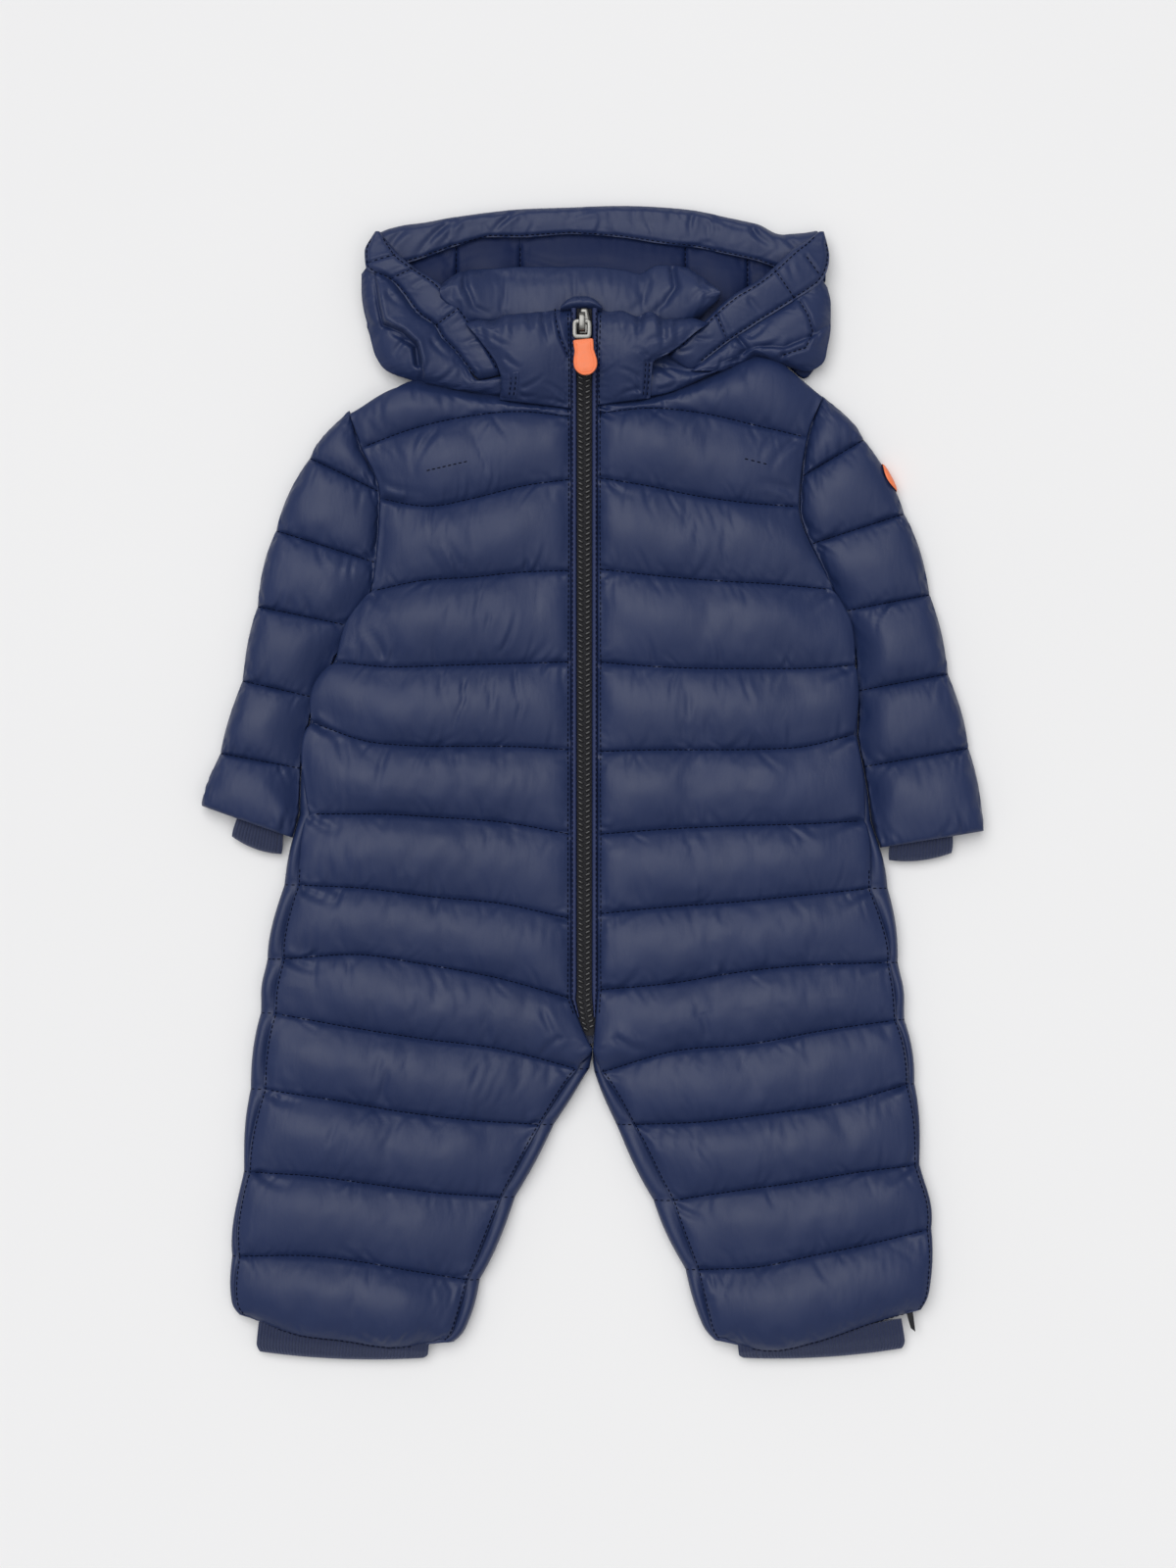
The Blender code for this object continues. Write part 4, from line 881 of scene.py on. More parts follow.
SLEEVE = {
    Side.RIGHT: rows_of(
        Across, (-146, 220.5, -141, 205), (-168, 192, -129, 172), (-188, 149, -133, 130), (-199, 104, -150, 92),
        (-208, 60, -165, 50), (-221, 17, -172, 8), (-232, -14, -180, -33),
    ),
    Side.LEFT: rows_of(
        Across, (138, 229, 132, 214), (161, 203, 124, 181), (185, 159, 129, 141), (200, 111, 151, 101),
        (211, 64, 157, 54), (223, 20, 161, 9), (232, -29, 172, -39),
    ),
}
SLEEVE_SEWN, SLEEVE_PUFF, SLEEVE_HEM, SLEEVE_GAP, ARMHOLE_LAP = 14.0, 6.0, 17.5, 0.3, 1.1
SLEEVE_REACH = {Side.RIGHT: 25.0, Side.LEFT: 19.0}
SLEEVE_SUNK = 8.4
CUFF_POCKET = (6.2, 12.6)
CUFF_LEVELS = (6.6, 12.2)
CUFF_WALL = 2.2


@dataclass
class Sleeve:
    """One quilted sleeve, a flattened tube whose hem stands open round the knitted cuff."""

    side: Side
    nylon: Material
    baffle_rows: int = 18
    around: int = 40
    fine_rows: int = 24
    fine_around: int = 76
    crease_spacing: float = 8.5
    crease_depth: float = 1.2
    groove: float = 1.6
    pucker: float = 0.4

    def at_hem(self, stations: Points) -> Points:
        """Returns 0 over the sleeve and 1 along its hem."""
        last = len(SLEEVE[self.side]) - 1
        return ramp(last - 0.72, last - 0.28, stations)

    def ends(self, stations: Points) -> tuple:
        """Returns each row's outer end, and its inner end just clear of the body's edge."""
        sign = self.side.value
        outer_x, outer_y, _, inner_y = curve(np.array(SLEEVE[self.side], float).T, stations)
        outer_x = outer_x + sign * SCALLOP * np.sin(np.pi * (stations % 1))
        outer = np.stack([outer_x - sign * 1.6 * ramp(0.7, 0, stations), outer_y], axis=1)
        body = np.linspace(0, LAST_ROW, 300)
        heights = line_height(self.side, body, np.array([1.0]))[:, 0]
        down = np.minimum.accumulate(heights)
        under = SLEEVE_GAP - ARMHOLE_LAP * ramp(100, 120, inner_y)
        inner_x = np.interp(-inner_y, -down, outline_x(self.side, body)) + sign * under
        return outer, np.stack([inner_x, inner_y], axis=1)

    def point(self, stations: Points, angles: Points, puff: float) -> Points:
        """Returns points of the outside; angle 0 is the body side, 90 the top and 180 the outer edge."""
        outer, inner = self.ends(stations)
        middle, half = (outer + inner) / 2, (inner - outer) / 2
        turn = np.radians(angles)
        plan = middle[:, None] + half[:, None] * np.cos(turn)[None, :, None]
        rise = np.sin(turn)[None, :]
        width = ramp(4, 22, np.linalg.norm(half, axis=1))
        hem = self.at_hem(stations)
        full = np.maximum(np.sin(np.pi * (stations % 1)), 0) ** 0.75
        crest = lerp(SLEEVE_SEWN, SLEEVE_HEM, hem) + puff * (1 - 0.6 * hem) * full
        crest = lerp(10.0, crest, width)[:, None]
        power = lerp(0.7, 0.45, hem)[:, None]
        over = OUTLINE_HEIGHT + (crest - OUTLINE_HEIGHT) * np.maximum(rise, 0) ** power
        below = OUTLINE_HEIGHT * (1 - np.minimum(-2 * rise, 1)) ** 1.3
        z = np.where(rise >= 0, over, np.where(rise < -1e-9, below, OUTLINE_HEIGHT))
        return np.dstack([plan, z])

    def tuck(self, surface: Points, stations: Points) -> Points:
        """Lets the sleeve's inner edge sink where the front lies over it."""
        from_body = np.linalg.norm(surface[:, :, :2] - surface[:, :1, :2], axis=2)
        below_armhole = ramp(122, 108, surface[:, :1, 1]) * np.ones_like(from_body)
        hem = self.at_hem(stations)[:, None]
        floor = lerp(SLEEVE_SUNK, CUFF_POCKET[1] + 0.5, hem)
        reach = lerp(SLEEVE_REACH[self.side], 9.0, hem)
        held = np.clip(1 - from_body / reach, 0, 1) ** 2 * below_armhole
        pressed = surface.copy()
        pressed[:, :, 2] -= held * np.maximum(surface[:, :, 2] - floor, 0)
        seam = (1 - ramp(0, 3.5, from_body)) * (1 - below_armhole)
        pressed[:, :, 2] = lerp(pressed[:, :, 2], np.maximum(pressed[:, :, 2], 10.5), seam)
        return pressed

    def build(self, cloth: Settle) -> Piece:
        """Builds the sleeve and lets it swell between its seams."""
        last = len(SLEEVE[self.side]) - 1
        stations = np.linspace(0, last, last * self.baffle_rows + 1)
        top = np.linspace(0, 180, self.around)
        points = self.point(stations, top, SLEEVE_PUFF * PUFF_AT_FIRST)
        surface = cloth.swollen(points, self.nylon, sewn_rows(stations))
        fine = np.unique(np.concatenate([k + crowded(self.fine_rows) for k in range(last)] + [[float(last)]]))
        top = np.linspace(0, 180, self.fine_around)
        surface = resample(surface, fine * self.baffle_rows, np.linspace(0, self.around - 1, self.fine_around))
        self.sewn_rows = sewn_rows(fine)
        seed = 90 + 20 * self.side.value
        creases = wrinkles(surface, self.sewn_rows, seed, self.crease_spacing, self.crease_depth)
        relief = sewn_relief(surface, self.sewn_rows, seed, self.groove, self.pucker)
        surface[:, :, 2] += relief + crease_relief(surface, creases)
        self.surface = surface = self.tuck(surface, fine)
        below = np.linspace(180, 360, 25)[1:-1]
        ring = np.concatenate([surface, self.point(fine, below, SLEEVE_PUFF)], axis=1)
        piece = sheet_of(f"quilted_sleeve_{self.side.word}", ring, self.nylon, closed=True)
        middle = (surface[:, :1] + surface[:, -1:]) / 2
        half = np.linalg.norm(surface[:, :1] - surface[:, -1:], axis=2, keepdims=True) / 2
        reach = np.maximum(half - 3.0, 1.5) / half
        wide = ramp(4, 22, half[:, 0, 0])
        low = lerp(5.0, lerp(7.0, CUFF_POCKET[0], self.at_hem(fine)), wide)[:, None]
        high = lerp(6.4, lerp(8.4, CUFF_POCKET[1], self.at_hem(fine)), wide)[:, None]
        rise = np.sin(np.radians(np.concatenate([top, below])))[None, :]
        inside = middle + (ring - middle) * reach
        inside[:, :, 2] = (low + high) / 2 + (high - low) / 2 * np.clip(rise * 6, -1, 1)
        upper = slice(1, len(top) - 1)
        inside[:, upper, 2] = np.minimum(inside[:, upper, 2], ring[:, upper, 2] - 0.6)
        close_wall(piece, inside)
        return piece


class CuffEnds(NamedTuple):
    """A knitted cuff's two rows: inside the hem, and its free end."""

    inside: Across
    free: Across


CUFFS = {
    "wrist_cuff_right": CuffEnds(Across(-208, -13.5, -183, -23), Across(-215, -32, -184, -43)),
    "wrist_cuff_left": CuffEnds(Across(213, -20.5, 177, -27), Across(214, -42, 175, -46.5)),
    "ankle_cuff_right": CuffEnds(Across(-198, -320, -97, -333), Across(-200, -338, -98, -342)),
    "ankle_cuff_left": CuffEnds(Across(183, -318, 86, -334), Across(186, -336, 87, -342)),
}


@dataclass
class KnitCuff:
    """A ribbed cuff: a flattened double tube that comes out of a hem and droops to its folded end."""

    node: str
    knit: Material
    rib: float = 1.9
    rib_depth: float = 0.8
    rows: int = 18
    bow: float = 2.4
    droop: float = 3.5
    seam: float = 0.78

    def build(self) -> Piece:
        """Builds the cuff with its ribs."""
        ends = np.array(CUFFS[self.node], float)
        start, finish = ends[:, :2], ends[:, 2:]
        width = np.linalg.norm(finish - start, axis=1).mean()
        ribs = round(width / self.rib)
        across = np.linspace(1, -1, ribs * 4 + 1)
        across = np.concatenate([across, across[-2:0:-1]])
        top = np.concatenate([np.ones(ribs * 4 + 1), -np.ones(ribs * 4 - 1)])
        share = np.linspace(0, 1, self.rows)
        a, b = lerp(*start, share[:, None]), lerp(*finish, share[:, None])
        middle, half = (a + b) / 2, (b - a) / 2
        half = half * (1 - 0.05 * ramp(0.7, 1, share)[:, None] ** 2)
        outward = (middle[-1] - middle[0]) / np.linalg.norm(middle[-1] - middle[0])
        bow = self.bow * ramp(0.2, 1, share)[:, None] * (1 - across ** 2)[None, :]
        level = (sum(CUFF_LEVELS) / 2 - self.droop * ramp(0.5, 1, share))[:, None]
        reach = (CUFF_LEVELS[1] - CUFF_LEVELS[0]) / 2
        round_end = np.sqrt(np.clip(1 - ramp(0.86, 1.0, share) ** 2, 0.12, 1))[:, None]
        ridge = np.abs(np.cos(np.arange(len(across)) / 4 * np.pi)) ** 0.7 - 1.5 * bell(across, self.seam, 0.02)
        shape = (1 - np.abs(across) ** 6) ** 0.45 * top
        outer = np.dstack([
            middle[:, None] + half[:, None] * across[None, :, None] + bow[:, :, None] * outward,
            level + (reach * shape + self.rib_depth * (ridge - 1) * top) * round_end,
        ])
        around = np.linalg.norm(np.diff(outer, axis=1), axis=2).sum(axis=1).mean()
        self.cut = (around * MM, np.linalg.norm(start[1] - start[0]) * MM)
        piece = sheet_of(f"ribbed_{self.node}", outer, self.knit, closed=True)
        short = (half[:, None] * (1 - CUFF_WALL / (width / 2))) * across[None, :, None]
        close_wall(piece, np.dstack([
            middle[:, None] + short + bow[:, :, None] * outward,
            level + (reach - CUFF_WALL) * shape * round_end,
        ]))
        return piece


# ---- Hood and collar ----

CROWN = rows_of(
    Column, (-134, 270, 297), (-128, 253, 302), (-114, 241, 305), (-100, 246, 309), (-81, 247, 316), (-62, 248, 321),
    (-43, 248, 321), (-13, 248, 323), (17, 248, 321), (43, 249, 317), (55, 251, 316), (73, 252, 313), (92, 254, 309),
    (108, 254, 303), (126, 240, 298), (134, 249, 295), (138, 262, 292),
)
CROWN_SEAMS = (-81, -43, 55, 92)
TOP_BAND = rows_of(
    Column, (-134, 306, 311), (-128, 306, 325), (-114, 307, 330), (-100, 311, 332), (-84, 317, 335), (-62, 323, 338),
    (-42, 323, 340), (-13, 325, 341), (17, 323, 342), (43, 319, 341), (62, 317, 339), (80, 313, 335), (98, 309, 331),
    (112, 304, 325), (126, 300, 326), (134, 298, 327), (138, 297, 311),
)
HOOD_ROWS = {
    Side.RIGHT: rows_of(
        HoodRow, (-137, 301, -134, 304, -114, 311), (-137, 292, -120, 297, -104, 303),
        (-136, 281, -112, 288, -91, 295), (-133, 269, -104, 277, -81, 285), (-131, 260, -94, 270, -75, 277),
        (-128, 251, -89, 262, -68, 267), (-121, 243, -82, 255, -62, 258), (-103, 237, -75, 246, -57, 249),
        (-80, 232, -67, 237.5, -54, 241),
    ),
    Side.LEFT: rows_of(
        HoodRow, (139, 293, 136, 297, 118, 315), (141, 283, 121, 286, 108, 305), (141, 270, 110, 279, 97, 296),
        (139, 257, 97, 271, 85, 289), (137, 249, 94, 269, 81, 286), (127, 243.5, 90, 266.5, 76, 282),
        (112, 247, 86, 264, 71, 277), (98, 252, 80, 260, 63, 269.5), (88, 247.5, 72, 254, 53, 261),
        (79, 243, 58, 243, 45, 252),
    ),
}
BAND_START = {
    Side.RIGHT: (Across(-129, 326, -126, 326), Across(-135, 314, -119, 317)),
    Side.LEFT: (Across(137, 326, 134, 326), Across(140, 311, 126, 320)),
}
HOOD_FOOT = Across(-54, 228.5, -54, 240)
COLLAR = {
    Side.RIGHT: rows_of(
        Across, (-13, 221, -55, 226), (-13, 235, -54, 236), (-13, 247, -56.5, 246), (-13, 264, -67, 261),
        (-13, 280, -76, 272),
    ),
    Side.LEFT: rows_of(
        Across, (3, 223, 34, 227), (3, 236, 34.5, 237), (3, 247, 35.5, 247), (3, 256, 46, 253.5), (3, 266, 58.5, 263),
        (3, 279, 69, 272),
    ),
}
COLLAR_BACK = rows_of(
    Column, (-90, 284, 294), (-84, 276, 299), (-76, 268, 303), (-58, 262, 304), (-42, 258, 305), (-17, 256, 305),
    (1, 256, 305), (20, 256, 303), (27, 257, 301), (39, 258, 306), (54, 266, 305), (65, 276, 299), (75, 286, 291),
)
LEFT_TAB = rows_of(
    Column, (36, 228.5, 246), (45, 230.5, 244.5), (57, 235, 242), (69, 240.5, 243), (78, 245, 246.5),
)
GUARD = rows_of(
    Column, (-19, 277.5, 280.6), (-15, 278.2, 284.2), (-9.5, 278.8, 286.2), (-4, 278.8, 286.2), (1.5, 278.2, 284.2),
    (5.5, 277.3, 280.4),
)
HOOD_INSIDE = 10.4
COLLAR_BACK_LEVELS = (10.4, 17.0)
COLLAR_FRONT_INSIDE = 22.6
COLLAR_FRONT_HEIGHT = 30.0
GUARD_LEVELS = (22.6, 28.5)
ZIP_CLIMB, ZIP_CLIMB_SPAN = 11, (219, 252)


def dome(share: Points, power: float = 2.5) -> Points:
    """Returns 0 at both edges of a strip and 1 along its middle."""
    return 1 - np.abs(2 * share - 1) ** power


def zip_rise(y: Points) -> Points:
    """Returns how far the zip climbs where it runs up the collar."""
    climb = ramp(*ZIP_CLIMB_SPAN, y)
    return ZIP_CLIMB * climb * climb * (3 - 2 * climb)


def bell(value: Points, centre: float, width: float) -> Points:
    """Returns 1 at the centre, falling smoothly to 0 within a few widths."""
    return np.exp(-((value - centre) / width) ** 2)


def column_plan(columns: Sequence, across: Points, shares: Points) -> Points:
    """Returns places in plan, rows up the piece by columns across it."""
    places, *ends = np.array(columns, float).T
    low, high = curve(ends, np.interp(across, places, range(len(columns))))
    y = low[None, :] + (high - low)[None, :] * shares[:, None]
    return np.dstack([np.broadcast_to(across, y.shape), y])


def across_plan(rows: Sequence, stations: Points, shares: Points) -> Points:
    """Returns places in plan, rows along a strip by columns across it."""
    ends = curve(np.array(rows, float).T, stations).T
    a, b = ends[:, None, :2], ends[:, None, 2:]
    return a + (b - a) * shares[None, :, None]


@dataclass
class Panel:
    """A padded piece of the hood or collar.

    Attributes:
        name: The piece's name.
        plan: Its places in plan.
        over: The height of its outside.
        under: The height of its inside.
        nylon: What it is made of.
        give: How much of the swelling stays.
        creases: Its own wrinkles.
        folds: Its folds and sewn lines.
        wrinkle: How deep its scattered wrinkles are.
        held: Columns that are sewn down, beside its edges.
    """

    name: str
    plan: Points
    over: Points
    under: Points | float
    nylon: Material
    give: float = 0.6
    creases: Sequence = ()
    folds: Sequence = ()
    wrinkle: float = 0.6
    held: Sequence = ()

    def build(self, cloth: Settle) -> Piece:
        """Builds the panel, lets it swell, and adds its wrinkles and folds."""
        start = np.dstack([self.plan, self.over])
        surface = start + (cloth.swollen(start, self.nylon, columns=self.held) - start) * self.give
        rows, columns = (np.linspace(0, count - 1, 2 * count - 1) for count in self.over.shape)
        surface = resample(surface, rows, columns)
        below = resample(np.dstack([self.plan, np.broadcast_to(self.under, self.over.shape)]), rows, columns)
        seed = 200 + sum(map(ord, self.name)) % 97
        ends = [0, len(surface) - 1]
        creases = list(self.creases) + wrinkles(surface, ends, seed, 12.0, self.wrinkle)
        relief = sewn_relief(surface, ends, seed, 0.3, 0.3) + crease_relief(surface, creases)
        surface[:, :, 2] += relief + fold_relief(surface, self.folds)
        surface[:, :, 2] = np.maximum(surface[:, :, 2], below[:, :, 2] + 0.5)
        self.surface = surface
        piece = sheet_of(self.name, surface, self.nylon)
        face_up(piece)
        close_wall(piece, below)
        return piece

    def stitch(self, stitches: "Stitching") -> None:
        """Runs stitches along the panel's sewn lines."""
        for fold in self.folds:
            if fold.sewn:
                stitches.line(on_surface(self.surface, fold.path))


def edge_line(panel_plan: Points, column: int, start: int = 3, end: int = -3) -> tuple:
    """Returns a line in plan that runs along one column of a strip."""
    return tuple(map(tuple, panel_plan[start:end:3, column]))


HOOD_CREASES = {
    "hood_edge_top": rows_of(
        Crease, (-44, 339, -62, 322, 1.6, 1.6), (-83, 333, -106, 309, 1.8, 2.0), (-78, 335, -88, 318, 1.2, 1.6),
        (59, 337, 58, 322, 1.3, 1.6), (38, 317, 72, 321, 1.1, 1.4), (62, 340, 98, 326, 0.9, 1.4),
        (93, 330, 106, 317, 1.6, 1.8), (-48, 338, -64, 335, 0.8, 1.4), (2, 339, -16, 333, 0.7, 1.4),
        (112, 326, 124, 314, 1.4, 1.8), (-110, 328, -124, 312, 1.2, 2),
    ),
    "hood_side_right_quilted": rows_of(
        Crease, (-104, 236, -96, 250, 1.2, 1.6), (-92, 236, -80, 246, 1.1, 1.4), (-96, 262, -84, 250, 1.0, 1.6),
        (-110, 262, -118, 252, 1.4, 1.8), (-122, 290, -112, 280, 1.0, 1.8), (-136, 276, -128, 268, 1.0, 1.8),
    ),
    "hood_side_left_quilted": rows_of(
        Crease, (97, 256, 112, 262, 1.1, 1.6), (110, 249, 118, 262, 1.2, 1.8), (134, 262, 124, 272, 1.0, 1.8),
        (92, 262, 104, 272, 0.9, 1.4),
    ),
    "hood_edge_right": rows_of(
        Crease, (-80, 286, -92, 276, 0.9, 1.6), (-96, 298, -110, 290, 0.8, 1.6), (-66, 262, -78, 258, 0.9, 1.4),
        (-74, 274, -84, 268, 0.7, 1.4),
    ),
    "hood_edge_left": rows_of(
        Crease, (92, 286, 100, 276, 0.9, 1.6), (116, 306, 122, 292, 0.8, 1.6), (60, 262, 72, 262, 1.0, 1.3),
        (50, 254, 60, 256, 1.2, 1.3),
    ),
}
HOOD_FOLDS = {
    Side.RIGHT: (
        Fold(((-128, 296), (-126, 282), (-123.5, 271), (-112, 266), (-104, 259), (-101.5, 250), (-100, 236)),
             2.0, 1.4, False, 8.5),
        Fold(((-103.5, 247), (-105, 257), (-112, 262), (-120, 266)), 4.0, 1.5),
        Fold(((-122, 270), (-128, 265), (-132, 258)), 1.3, 2.2),
    ),
    Side.LEFT: (
        Fold(((122, 284.5), (127, 276), (130, 266), (126, 256.5), (112, 252)), 1.3, 1.1, True),
        Fold(((142, 271), (130, 263), (113, 256), (98, 257), (86, 252)), 1.0, 2.0, False, 3.5),
        Fold(((86, 262), (91, 256), (86, 250), (74, 247)), 2.4, 1.6),
    ),
}
BAND_SEAMS = {
    Side.RIGHT: (((-105, 303.5), (-119, 297.5)), ((-81, 278), (-93, 269.5)), ((-133, 307), (-116, 312))),
    Side.LEFT: (((107, 303), (119, 286)), ((72.5, 277), (79, 262)), ((126, 311), (134, 300))),
}


@dataclass
class Hood:
    """The hood, laid open: crown lining, edge band in three stretches, and the two folded sides."""

    nylon: Material
    lining: Material
    span: tuple = (-134, 138)
    crown_height: float = 6.0
    crown_puff: float = 3.2
    top_height: float = 9.6
    side_height: float = 12.0

    def crown(self) -> Panel:
        """Returns the crown, whose lining is quilted from front to back and tucked under the edge band."""
        across = np.unique(np.concatenate([np.linspace(*self.span, 112), CROWN_SEAMS]))
        shares = np.linspace(0, 1.1, 28)
        plan = column_plan(CROWN, across, shares)
        seams = [int(np.argmin(abs(across - seam))) for seam in CROWN_SEAMS]
        between = np.min(np.abs(across[:, None] - np.array(CROWN_SEAMS)), axis=1)
        puff = self.crown_puff * ramp(0, 9, between)[None, :]
        over = self.crown_height + puff * dome(np.minimum(shares, 1))[:, None]
        over = over - 2.0 * ramp(0.85, 1.1, shares)[:, None]
        folds = [Fold(tuple((seam, y) for y in (250, 270, 290, 318)), 1.2, 1.0, True) for seam in CROWN_SEAMS]
        folds.append(Fold(((-40, 312), (-20, 306), (4, 309), (30, 303)), 0.9, 2.0))
        # The crown takes the darker lining finish, whose dark colour is painted shade in the hood's hollow.
        return Panel("hood_lining_crown", plan, over, 0.0, self.lining, folds=folds, held=seams)

    def top_band(self) -> Panel:
        """Returns the flat edge band along the top, with slanting creases."""
        across = np.linspace(*self.span, 118)
        shares = np.linspace(0, 1, 15)
        plan = column_plan(TOP_BAND, across, shares)
        v = shares[:, None]
        over = self.top_height + 1.6 * dome(v, 4) - 3.0 * ramp(0.9, 1, v)
        over = over + 0.8 * ripple(across[None, :], 8 * v, 17.0, 4)
        line = TOP_BAND[1:-1]
        folds = (Fold(tuple((column.x, column.low + 0.9) for column in line), 0.7, 0.8, True),
                 Fold(tuple((column.x, column.high - 2.0) for column in line), 0.4, 0.8))
        return Panel("hood_edge_top", plan, over, 0.0, self.nylon, 0.25, HOOD_CREASES["hood_edge_top"], folds)

    def side(self, side: Side) -> tuple:
        """Returns one folded hood side and the flat edge band beside it."""
        rows = HOOD_ROWS[side]
        band = list(BAND_START[side]) + [Across(row.x_seam, row.y_seam, row.x_edge, row.y_edge) for row in rows]
        stations = np.linspace(0, len(band) - 1, 76)
        u, v = np.linspace(0, 1, 18)[None, :], (stations / (len(band) - 1))[:, None]
        body = ramp(0, 0.25, v)
        over = self.side_height + lerp(6.0, 9.5, u) * body + 1.8 * dome(u, 3)
        over = over - 2.5 * ramp(0.93, 1, u) - 4.0 * ramp(0.94, 1, v) ** 2
        plan = across_plan(band, stations, np.linspace(0, 1, 18))
        name = f"hood_edge_{side.word}"
        folds = [Fold(edge_line(plan, -3), 0.5, 0.8, True), Fold(edge_line(plan, 1), 1.0, 1.0, True)]
        folds += [Fold(path, 1.0, 0.9, True) for path in BAND_SEAMS[side]]
        strip = Panel(name, plan, over, HOOD_INSIDE, self.nylon, 0.3, HOOD_CREASES[name], folds)
        panel = [Across(row.x_outline, row.y_outline, row.x_seam, row.y_seam) for row in rows]
        if side is Side.RIGHT:
            panel.append(HOOD_FOOT)
        stations = np.linspace(0, len(panel) - 1, 74)
        shares = np.linspace(0, 1, 34)
        u, v = shares[None, :], (stations / (len(panel) - 1))[:, None]
        body = ramp(0, 0.2, v) * (1 - 0.4 * ramp(0.75, 1, v))
        over = 11.5 + 5.5 * u + 7.0 * body * dome(u, 3.5) * (1 - 0.2 * u)
        over = np.maximum(over, self.side_height)
        plan = across_plan(panel, stations, shares)
        name = f"hood_side_{side.word}_quilted"
        return strip, Panel(name, plan, over, HOOD_INSIDE, self.nylon, 0.5,
                            HOOD_CREASES[name], HOOD_FOLDS[side], 0.8)


COLLAR_FOLDS = {
    Side.RIGHT: (
        Fold(((-38.7, 280), (-37.5, 273), (-35, 266)), 1.8, 1.8), Fold(((-61, 280), (-57, 270)), 1.4, 1.8),
        Fold(((-28, 283), (-29.5, 272), (-27, 262)), 1.2, 1.6), Fold(((-50, 281), (-49, 273)), 0.9, 1.5),
        Fold(((-22.5, 280), (-21.5, 271), (-19.5, 262), (-14.5, 251)), 1.7, 0.9, True),
    ),
    Side.LEFT: (
        Fold(((29, 280), (28.5, 273), (26, 263)), 2.0, 1.8), Fold(((28, 274), (39, 277), (46, 280)), 1.6, 1.6),
        Fold(((52, 279), (48, 271), (47, 262)), 1.6, 1.8), Fold(((12, 281), (14, 271)), 0.9, 1.6),
        Fold(((33.5, 247.5), (33, 237), (32, 228)), 1.1, 0.9, True),
        Fold(((31.3, 247.5), (30.8, 237), (29.8, 228)), 0.6, 0.7, True),
    ),
}
COLLAR_BACK_FOLDS = rows_of(
    Fold, (((-76, 306), (-75, 292), (-70, 280), (-60, 276)), 3.2, 1.8),
    (((27, 306), (33, 296), (30, 284), (20, 276)), 1.4, 2.2),
    (((47, 304), (49, 292), (42, 282), (34, 276)), 3.0, 1.8),
    (((72, 297), (62, 288), (54, 280)), 1.0, 1.8), (((-60, 300), (-40, 298), (-8, 297)), 0.5, 3.0),
)
COLLAR_CREASES = {
    Side.RIGHT: rows_of(
        Crease, (-14, 226, -30, 236, 0.9, 1.4), (-15, 223, -34, 226, 0.8, 1.3), (-42, 232, -28, 240, 0.8, 1.4),
        (-43, 228, -32, 228, 0.9, 1.2), (-52, 250, -42, 243, 1.0, 1.6), (-60, 262, -48, 256, 0.8, 1.6),
    ),
    Side.LEFT: rows_of(
        Crease, (28, 232, 12, 226, 1.1, 1.4), (28, 238, 14, 244, 0.8, 1.4), (28, 230, 20, 236, 0.7, 1.2),
        (5, 240, 16, 248, 0.8, 1.3), (33, 250, 24, 256, 0.8, 1.6), (42, 262, 30, 258, 0.8, 1.6),
    ),
}
LEFT_TAB_CREASES = (Crease(40, 246, 52, 238, 1.2, 1.4), Crease(38, 232, 50, 236, 0.9, 1.3))


